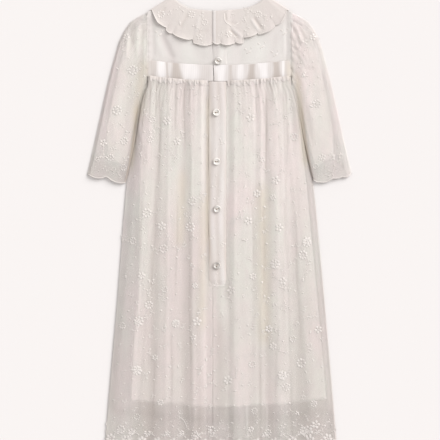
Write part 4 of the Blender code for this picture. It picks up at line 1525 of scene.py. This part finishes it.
def sleeve_lining(word, side):
    """A flat tube in the sleeve, narrower than it and cut off on a slant above the cuff."""

    def place(u, v):
        flat, wall = tube_share(u)
        end = SLEEVE_LINING_END + SLEEVE_LINING_SLANT * flat
        share = mix(SLEEVE_LINING_START, end, v)
        outer_x, outer_depth, inner_x, inner_depth, puff = sleeve_line(share)
        start = lining_outer(side, share)
        stop = 1 - mix(*SLEEVE_LINING_INNER, v)
        across = mix(start, stop, flat)
        x = mix(outer_x, inner_x, across)
        depth = mix(outer_depth, inner_depth, across)
        arch = PUFF_SHARE[side] * puff * np.sin(np.pi * across) * 0.5
        folds = creases(x, depth, SLEEVE_CREASES[side]) * 0.4
        top = INNER_BACK + (arch + folds) * ease(np.minimum(flat, 1 - flat) * 6)
        level = 0.5 + 0.5 * wall * ease(np.minimum(flat, 1 - flat) * 25)
        return side * x, depth, mix(INNER_FRONT, np.maximum(top, INNER_BACK - 0.2), level)

    obj = cloth("sleeve_lining_" + word, 72, 50, place, LINING_THICKNESS, LINING, "lining", closed=True)


# Buttons

def drill(name, body, turn, way):
    """Bores one of a button's holes, on one side of its middle."""
    bore = bmesh.new()
    radius = BUTTON_HOLE / 2 * MM
    length = 4 * BUTTON_HEIGHT * MM
    bmesh.ops.create_cone(bore, cap_ends=True, segments=16, radius1=radius, radius2=radius, depth=length)
    tool = add_object(name + "_drill", as_mesh(bore, name + "_drill"))
    offset = way * BUTTON_HOLE_OFFSET * MM
    tool.location = (math.cos(turn) * offset, math.sin(turn) * offset, 0)
    cut = body.modifiers.new("Hole", "BOOLEAN")
    cut.operation = "DIFFERENCE"
    cut.object = tool
    return tool


def button(name, turn_degrees, tone):
    """A turned shell button with two holes and the thread through them."""
    low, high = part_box(name)
    centre = (low + high) / 2
    radius = BUTTON_DIAMETER / 2
    turned = bmesh.new()
    outline = [(share * radius * MM, 0, rise * BUTTON_HEIGHT * MM) for share, rise in BUTTON_PROFILE]
    spots = [turned.verts.new(spot) for spot in outline]
    edges = [turned.edges.new((a, b)) for a, b in zip(spots, spots[1:])]
    bmesh.ops.spin(
        turned, geom=spots + edges, axis=(0, 0, 1), cent=(0, 0, 0),
        angle=2 * math.pi, steps=BUTTON_STEPS, use_duplicate=False,
    )
    bmesh.ops.remove_doubles(turned, verts=turned.verts, dist=0.00001)
    bmesh.ops.recalc_face_normals(turned, faces=turned.faces)
    body = add_object(name + "_blank", as_mesh(turned, name + "_shell"))
    turn = math.radians(turn_degrees)
    finished = baked(body, *(drill(name, body, turn, way) for way in (-1, 1)))
    spots = np.array([spot.co for spot in finished.vertices]) / (radius * MM)
    away = np.hypot(spots[:, 0], spots[:, 1])
    cloud = np.sin(2 * np.arctan2(spots[:, 1], spots[:, 0]) + 9 * tone)
    by_rim = hill((away - BUTTON_RIM) / 0.1)
    set_shade(finished, tone + BUTTON_CLOUD * cloud * away + BUTTON_RIM_SHADE * by_rim)
    obj = add_piece(name + "_turned", finished, SHELL, (name,))
    obj.location = (centre.x, centre.y, low.z)
    finished.shade_smooth()
    finished.set_sharp_from_angle(angle=math.radians(50))
    thread(name, centre, low.z, turn)


def thread(name, centre, base, turn):
    """Three strands of thread that cross between a button's holes."""
    curve = bpy.data.curves.new(name + "_thread", "CURVE")
    curve.dimensions = "3D"
    curve.bevel_depth = THREAD_RADIUS * MM
    curve.bevel_resolution = 2
    along = Vector((math.cos(turn), math.sin(turn), 0))
    side = Vector((-along.y, along.x, 0))
    for shift in THREAD_SHIFTS:
        line = curve.splines.new("POLY")
        line.points.add(THREAD_STEPS)
        for i in range(THREAD_STEPS + 1):
            share = 2 * i / THREAD_STEPS - 1
            reach = BUTTON_HOLE_OFFSET * share
            lift = BUTTON_HEIGHT * 0.62 + 0.3 - 1.6 * abs(share) ** 6
            spot = along * reach * MM + side * shift * (1 - 0.3 * share * share) * MM
            line.points[i].co = (*(spot + Vector((0, 0, lift * MM))), 1)
    curve.use_fill_caps = True
    mesh = baked(add_object(name + "_strands", curve))
    set_shade(mesh, np.full(len(mesh.vertices), BUTTON_THREAD_SHADE))
    obj = add_piece(name + "_thread", mesh, THREAD)
    obj.location = (centre.x, centre.y, base)
    mesh.shade_smooth()


# Embroidery: every motif is drawn round its own middle and placed by its caller

def off(x, depth, angle, reach):
    """The place a reach away from another, at an angle."""
    return x + math.cos(angle) * reach, depth + math.sin(angle) * reach


def flower(stitches, x, depth, size, turn, petals=5):
    """Petals round a knot, each a dimpled oval."""
    for i in range(petals):
        angle = turn + 2 * math.pi * i / petals
        petal = off(x, depth, angle, size * 0.31)
        stitches.pad(*petal, size * 0.36, size * 0.29, angle, 0.55, 0.3)
    stitches.pad(x, depth, size * 0.18, size * 0.18, 0, 0.5)


def ring_flower(stitches, x, depth, size, turn):
    """A ring of small knots round an open middle."""
    for i in range(8):
        knot = size * RANDOM.uniform(0.2, 0.28)
        stitches.pad(*off(x, depth, turn + math.pi * i / 4, size * 0.36), knot, knot, 0, 0.45)
    stitches.pad(x, depth, size * 0.16, size * 0.16, 0, 0.35)


def cluster(stitches, x, depth, size):
    """A loose heap of knots of several sizes."""
    for _ in range(7):
        knot = RANDOM.uniform(0.16, 0.32) * size
        reach = size * 0.38 * math.sqrt(RANDOM.uniform())
        angle = RANDOM.uniform(0, 2 * math.pi)
        stitches.pad(*off(x, depth, angle, reach), knot, knot * 0.85, angle, 0.5)


def drop(stitches, x, depth, size):
    """A hanging drop with a small knot above it."""
    stitches.pad(x, depth, size * 0.8, size * 0.42, math.pi / 2 + RANDOM.uniform(-0.3, 0.3), 0.55, 0.2)
    stitches.pad(x, depth - size * 0.6, size * 0.2, size * 0.2, 0, 0.35)


def fan(stitches, x, depth, size):
    """Narrow stitches spread like a fan, with a corded outer edge."""
    edge = []
    for i in range(6):
        angle = 0.15 + 0.26 * i
        stitches.pad(*off(x, depth, angle, size * 0.45), size * 0.62, size * 0.1, angle, 0.35)
        edge.append(off(x, depth, angle, size * 0.82))
    stitches.cord(edge, 1, 0.45)


def feather(stitches, x, depth, length, turn):
    """A curved spray with short leaves close along both sides."""
    line = []
    for i in range(9):
        share = i / 8
        heading = turn + 0.7 * share
        line.append(off(x, depth, heading, length * share))
        for side in (heading + 0.9, heading - 0.9) if i else ():
            leaf(stitches, *off(*line[-1], side, 2), 3.4, side)
    stitches.cord(line, 0.8, 0.4)


def leaf(stitches, x, depth, length, turn):
    """A pointed leaf of satin stitches."""
    stitches.pad(x, depth, length, length * 0.42, turn, 0.4, 0.1)


def bud(stitches, x, depth, size):
    """A round knot."""
    stitches.pad(x, depth, size, size * 0.85, 0.6, 0.5)


def stem(stitches, x, depth, length, turn, bend):
    """A curved stem with small leaves on both sides and a bud at its end."""
    steps = 7
    line = [off(x, depth, turn + bend * i / steps, length * i / steps) for i in range(steps + 1)]
    stitches.cord(line, 0.7, 0.35)
    for i, way in ((2, 1), (4, -1), (6, 1)):
        side = turn + bend * i / steps + way
        leaf(stitches, *off(*line[i], side, 2.2), 3.8, side)
    bud(stitches, *line[-1], 2.4)


def sprig(stitches, x, depth, size=14, turn=None):
    """A flower with one or two leafy stems."""
    turn = RANDOM.uniform(0, 2 * math.pi) if turn is None else turn
    kind = RANDOM.choice(("flower", "ring", "cluster", "drop"), p=(0.34, 0.28, 0.3, 0.08))
    if kind == "flower":
        flower(stitches, x, depth, size, turn, petals=int(RANDOM.integers(5, 7)))
    elif kind == "ring":
        ring_flower(stitches, x, depth, size * 1.05, turn)
    elif kind == "cluster":
        cluster(stitches, x, depth, size * 0.85)
    else:
        drop(stitches, x, depth, size * 0.55)
    for way in (1, -1)[: int(RANDOM.integers(0, 3))]:
        heading = turn + way * RANDOM.uniform(0.9, 1.6)
        length = RANDOM.uniform(9, 16)
        bend = way * RANDOM.uniform(0.4, 1)
        stem(stitches, *off(x, depth, heading, size * 0.55), length, heading, bend)


# Middles of the flowers on the skirt
SKIRT_FLOWERS = (
    # (x, depth), scattered
    (-101, 184), (-79, 186), (-41, 136), (-104, 214), (-64, 217), (-119, 236), (-41, 306), (-109, 324),
    (-87, 344), (-44, 345), (-130, 366), (-84, 378), (-40, 404), (-117, 418), (-141, 420), (-102, 426),
    (-37, 433), (-82, 439), (-106, 462), (-122, 487), (-34, 487), (-66, 490), (-146, 493), (-84, 496),
    (-40, 510), (-97, 541), (-20, 544), (-124, 559), (-22, 585), (-89, 608), (-124, 630),
    (28, 159), (66, 156), (46, 181), (98, 179), (112, 210), (64, 244), (84, 275), (56, 295),
    (80, 301), (43, 336), (89, 346), (37, 363), (131, 366), (125, 387), (83, 402), (50, 419),
    (125, 424), (95, 426), (17, 440), (82, 463), (74, 498), (148, 499), (110, 513), (80, 524),
    (122, 549), (49, 551), (94, 568), (52, 621), (118, 624), (12, 575), (-56, 575),
)
LARGE_FLOWERS = (
    # (x, depth, size)
    (-121.5, 486, 13), (131, 369, 12), (83, 400.5, 13), (93.5, 567, 12),
    (141, 610, 9), (131, 652, 15), (-124, 560, 13), (100, 585, 11),
)
SKIRT_FAN = (-70, 484, 13)
SKIRT_FEATHER = (-65, 628, 26, 0.2)
SLEEVE_FLOWERS = {
    # (distance from the centre line, depth)
    LEFT: ((143, 216), (164, 241), (175, 219), (140, 60)),
    RIGHT: ((128, 117), (169, 241), (154, 240), (140, 60), (120, 60)),
}
SLEEVE_ROSETTES = {
    # (distance from the centre line, depth, size)
    LEFT: ((130, 110, 14), (154, 170, 14)),
    RIGHT: ((146, 160, 12),),
}
COLLAR_FLOWERS = {
    LEFT: ((22, 38), (42, 26), (60, 40), (74, 24), (30, 60), (88, 26)),
    RIGHT: ((20, 28), (37, 34), (58, 26), (14, 56), (42, 56), (78, 30), (66, 44)),
}
COLLAR_LOOP = (
    # (x, depth) along a raised loop
    (6.8, 24.5), (6.6, 30), (8, 36), (11, 39.5), (14, 41.5), (18, 44.5),
    (22, 43.5), (25, 41), (28.2, 39),
)
PLACKET_SPRAYS = (
    # (x, depth, turn)
    (1, 146, 1.9), (-1, 222, -1.2), (-7, 277, 1.2), (1, 300, 2), (-8, 355, 1.4),
    (3, 378, -1.8), (-6, 424, 1),
)
YOKE_FLOWERS = ((-92, 54), (42, 80), (62, 72), (82, 84), (96, 52))
BORDER_DEPTH = 664
BORDER_STEPS = 14
# Painted shade on the thread: darker over net alone and towards the hem, but never as dark as a gap
THREAD_TONE = 0.15
THREAD_SHEER_SHADE = 0.7
THREAD_CUFF_SHADE = 0.8
THREAD_LOWER_SHADE = 0.35
THREAD_SHADING_START = 300
THREAD_SHADING_LENGTH = 250
THREAD_MOST_SHADING = 0.9
# Smaller motifs between the flowers: how many are tried, and where
SPRAY_TRIES = 1500
SPRAY_MARGIN = 9
SPRAY_SPACING = 12
SPRAY_DEPTHS = (135, 640)
SEED_TRIES = 420
SEED_MARGIN = 3
SEED_DEPTHS = (135, 650)
SPRAY_REACH = 170
SLEEVE_BUDS = 40
SLEEVE_BUD_SPACING = 13


def on_skirt(x, depth, margin):
    """Whether a place is on the back skirt, away from its edges and from the placket."""
    inside = abs(x) < skirt_half_width(depth) - margin
    clear = abs(x - PLACKET_MIDDLE) > PLACKET_WIDTH / 2 + margin or depth > PLACKET_END + margin
    return inside and clear and depth > skirt_waist(x) + margin


def is_clear(x, depth, places, spacing):
    """Whether a place keeps its distance from others."""
    return all(math.hypot(x - a, depth - b) > spacing for a, b in places)


def skirt_embroidery(pieces):
    """Scattered sprigs and buds, then the close border along the hem."""
    stitches = Stitches()
    for x, depth in SKIRT_FLOWERS:
        sprig(stitches, x, depth, RANDOM.uniform(10, 15))
    for x, depth, size in LARGE_FLOWERS:
        flower(stitches, x, depth, size * 0.6, 0.4, petals=6)
        ring_flower(stitches, x, depth, size * 1.25, 0.1)
    fan(stitches, *SKIRT_FAN)
    feather(stitches, *SKIRT_FEATHER)
    placed = [*SKIRT_FLOWERS, *(row[:2] for row in LARGE_FLOWERS)]
    for _ in range(SPRAY_TRIES):
        x = RANDOM.uniform(-SPRAY_REACH, SPRAY_REACH)
        depth = RANDOM.uniform(*SPRAY_DEPTHS)
        if on_skirt(x, depth, SPRAY_MARGIN) and is_clear(x, depth, placed, SPRAY_SPACING):
            placed.append((x, depth))
            if RANDOM.uniform() < 0.6:
                bud(stitches, x, depth, RANDOM.uniform(2.2, 3.6))
            elif RANDOM.uniform() < 0.4:
                leaf(stitches, x, depth, RANDOM.uniform(3.5, 6), RANDOM.uniform(0, 3.1))
            else:
                heading = RANDOM.uniform(0, 2 * math.pi)
                stem(stitches, x, depth, RANDOM.uniform(6, 10), heading, RANDOM.uniform(-1, 1))
    for _ in range(SEED_TRIES):
        x = RANDOM.uniform(-SPRAY_REACH, SPRAY_REACH)
        depth = RANDOM.uniform(*SEED_DEPTHS)
        if on_skirt(x, depth, SEED_MARGIN):
            bud(stitches, x, depth, RANDOM.uniform(1.2, 2))
    border(stitches)

    def shade(x, depth):
        lower = ease((depth - THREAD_SHADING_START) / THREAD_SHADING_LENGTH)
        tone = THREAD_TONE + THREAD_SHEER_SHADE * sheer(x, depth) + THREAD_LOWER_SHADE * lower
        return np.minimum(tone, THREAD_MOST_SHADING)

    stitches.lay("skirt_embroidery", [pieces["left"], pieces["right"], pieces["placket"]], shade=shade)


def border(stitches):
    """Large flowers, leaf sprays and dots along the scalloped hem, with a corded edge."""
    half = skirt_half_width(LENGTH)
    steps = SCALLOPS_EACH_HALF * BORDER_STEPS
    for side in (LEFT, RIGHT):
        line = []
        for i in range(steps + 1):
            share = i / steps
            x = mix(side * (half - 0.6), SKIRT_SPLIT, share)
            line.append((x, float(hem_edge(x, share, SCALLOPS_EACH_HALF)) - 0.6))
        stitches.cord(line, 1.8, 0.7)
        for x, depth in line[3:-3:3]:
            bud(stitches, x, depth - 4.2, 2)
        for i in range(SCALLOPS_EACH_HALF):
            x = mix(side * half, SKIRT_SPLIT, (i + 0.5) / SCALLOPS_EACH_HALF)
            rise = HEM_RISE * (x / half) ** 2
            flower(stitches, x, BORDER_DEPTH + 6 - rise, 15, RANDOM.uniform(0, 6), petals=6)
            between = mix(side * half, SKIRT_SPLIT, (i + RANDOM.uniform(0.8, 1.2)) / SCALLOPS_EACH_HALF)
            drift = RANDOM.uniform(-8, 3)
            sprig(stitches, between, BORDER_DEPTH - 7 - rise + drift, RANDOM.uniform(8, 14))
            for way in (1, -1):
                heading = -math.pi / 2 + way * 0.75
                stem(stitches, x + way * 5, BORDER_DEPTH - 3 - rise, 13, heading, way * 0.9)
                leaf(stitches, x + way * 10.5, BORDER_DEPTH + 9 - rise, 7, way * 0.5)
            for _ in range(3):
                spot = x + RANDOM.uniform(-10, 10)
                bud(stitches, spot, BORDER_DEPTH - 16 - rise + RANDOM.uniform(-4, 4), 2.6)


def front_embroidery(pieces):
    """The same border and scattered sprigs on the hidden front."""
    stitches = Stitches()
    for x, depth in SKIRT_FLOWERS[::2]:
        flower(stitches, -x, depth, 12, RANDOM.uniform(0, 6))
    border(stitches)
    stitches.points = [(x, depth, min(lift, FRONT_STITCH_RISE)) for x, depth, lift in stitches.points]
    stitches.lay("front_embroidery", [pieces["front"]], below=True)


def sleeve_embroidery(word, side, cloths):
    """Sprigs down the sleeve and a close pattern with a corded edge at the cuff."""
    stitches = Stitches()
    for x, depth in SLEEVE_FLOWERS[side]:
        sprig(stitches, side * x, depth, RANDOM.uniform(11, 14))
    for x, depth, size in SLEEVE_ROSETTES[side]:
        flower(stitches, side * x, depth, size * 0.5, 0.4, petals=6)
        ring_flower(stitches, side * x, depth, size * 1.15, 0.2)

    def at(across, share):
        x, depth, _, _ = sleeve_point(side, across, share)
        return side * float(x), float(depth)

    for _ in range(SLEEVE_BUDS):
        share = RANDOM.uniform(0.05, 0.86)
        x, depth = at(RANDOM.uniform(0.12, 0.9), share)
        if is_clear(side * x, depth, SLEEVE_FLOWERS[side], SLEEVE_BUD_SPACING):
            bud(stitches, x, depth, RANDOM.uniform(2, 3.2))
    stitches.cord([at(mix(0.015, 0.985, i / 40), 0.995) for i in range(41)], 1.5, 0.6)
    for i in range(10):
        bud(stitches, *at(0.06 + 0.098 * i, 0.955 - 0.012 * (i % 2)), 2.2)
    for i in range(4):
        spot = at(0.15 + 0.235 * i, RANDOM.uniform(0.9, 0.94))
        sprig(stitches, *spot, RANDOM.uniform(7, 11))

    def shade(x, depth):
        return THREAD_CUFF_SHADE * ease((sleeve_share(side * x, depth) - SLEEVE_LINING_END) / 0.02)

    stitches.lay("sleeve_embroidery_" + word, cloths, shade=shade)


def collar_embroidery(word, side, cloths):
    """Flowers, trailing stems and the corded edge of a collar half."""
    stitches = Stitches()
    for x, depth in COLLAR_FLOWERS[side]:
        sprig(stitches, side * x, depth, RANDOM.uniform(9, 13))
    if side == RIGHT:
        stitches.cord(COLLAR_LOOP, 1.3, 0.5)
    rim = []
    for share in np.linspace(0, 1, 161):
        x, depth, _ = collar_back(side, share, 0.988)
        rim.append((float(x), float(depth)))
    stitches.cord(rim, 1.9, 0.8)
    stitches.lay("collar_embroidery_" + word, cloths)


def yoke_embroidery(cloths):
    """A few small sprigs on the bodice."""
    stitches = Stitches()
    for x, depth in YOKE_FLOWERS:
        leaf(stitches, x - 3, depth - 2, 5, 0.6)
        leaf(stitches, x + 3, depth + 2, 6, -0.5)
        bud(stitches, x, depth + 4, 2.6)
        bud(stitches, x + 6, depth - 4, 2)
    stitches.lay("yoke_embroidery", cloths)


def seam_stitches(skirt, bodice):
    """Rows of small stitches along the seams, and small sprays on the placket."""
    stitches = Stitches()

    def row(x1, depth1, x2, depth2, pitch=2.6):
        length = math.hypot(x2 - x1, depth2 - depth1)
        turn = math.atan2(depth2 - depth1, x2 - x1)
        count = int(length / pitch)
        for i in range(count):
            share = (i + 0.5) / count
            stitches.pad(mix(x1, x2, share), mix(depth1, depth2, share), pitch * 0.72, 0.45, turn, 0.22)

    for x, depth, turn in PLACKET_SPRAYS:
        stem(stitches, x, depth, 9, turn, 0.8)
        bud(stitches, x - 4, depth + 7, RANDOM.uniform(1.8, 2.8))
        bud(stitches, x + 2, depth - 9, RANDOM.uniform(1.8, 2.8))
    for x in (RIGHT_HALF_EDGE + 1.5, RIGHT_HALF_EDGE + YOKE_PLACKET_WIDTH - 1.5):
        row(x, 76, x, RIBBON_DEPTH - 2)
    for side in (LEFT, RIGHT):
        row(side * (ARMHOLE_X - 2.5), 30, side * (UNDERARM_X - 3.2), 92)
    cloths = [skirt["placket"], skirt["left"], skirt["right"]]
    cloths += [bodice["placket"], bodice["left"], bodice["right"]]
    stitches.lay("seam_stitches", cloths)


# Floor, light and camera

def build_stage():
    """A plain pale floor under soft light from the upper right."""
    floor = bmesh.new()
    bmesh.ops.create_grid(floor, x_segments=1, y_segments=1, size=FLOOR_SIZE)
    mesh = as_mesh(floor, "floor")
    mesh.materials.append(floor_finish())
    add_object("floor", mesh)
    light = bpy.data.lights.new("key", "SUN")
    light.angle = KEY_SPREAD
    light.energy = KEY_STRENGTH
    lamp = add_object("key", light)
    lamp.rotation_euler = (-Vector(KEY_FROM)).to_track_quat("-Z", "Y").to_euler()
    world_light = bpy.data.worlds.new("sky")
    world_light.use_nodes = True
    sky = world_light.node_tree.nodes["Background"]
    sky.inputs["Color"].default_value = linear(SKY_COLOUR)
    sky.inputs["Strength"].default_value = SKY_STRENGTH
    bpy.context.scene.world = world_light
    bpy.context.scene.view_settings.view_transform = "Standard"


def build_camera():
    """A camera straight above the dress, with the photo's framing."""
    data = bpy.data.cameras.new("camera")
    data.sensor_width = CAMERA_SENSOR
    data.lens = CAMERA_LENS
    camera = add_object("camera", data)
    camera.location = (*PHOTO_MIDDLE, CLOTH_LEVEL + PHOTO_SPAN * CAMERA_LENS / CAMERA_SENSOR)
    bpy.context.scene.camera = camera


def main():
    """Builds the dress, its floor, light and camera."""
    build_stage()
    build_camera()
    skirt = build_skirt()
    bodice = build_bodice()
    for word, side in SIDES:
        frill(word, side)
        collar_half = collar(word, side)
        arm = sleeve(word, side)
        sleeve_lining(word, side)
        collar_embroidery(word, side, [collar_half])
        sleeve_embroidery(word, side, [arm])
    for name, turn, tone in BUTTONS:
        button(name, turn, tone)
    skirt_embroidery(skirt)
    front_embroidery(skirt)
    yoke_embroidery([bodice["left"], bodice["right"]])
    seam_stitches(skirt, bodice)


main()
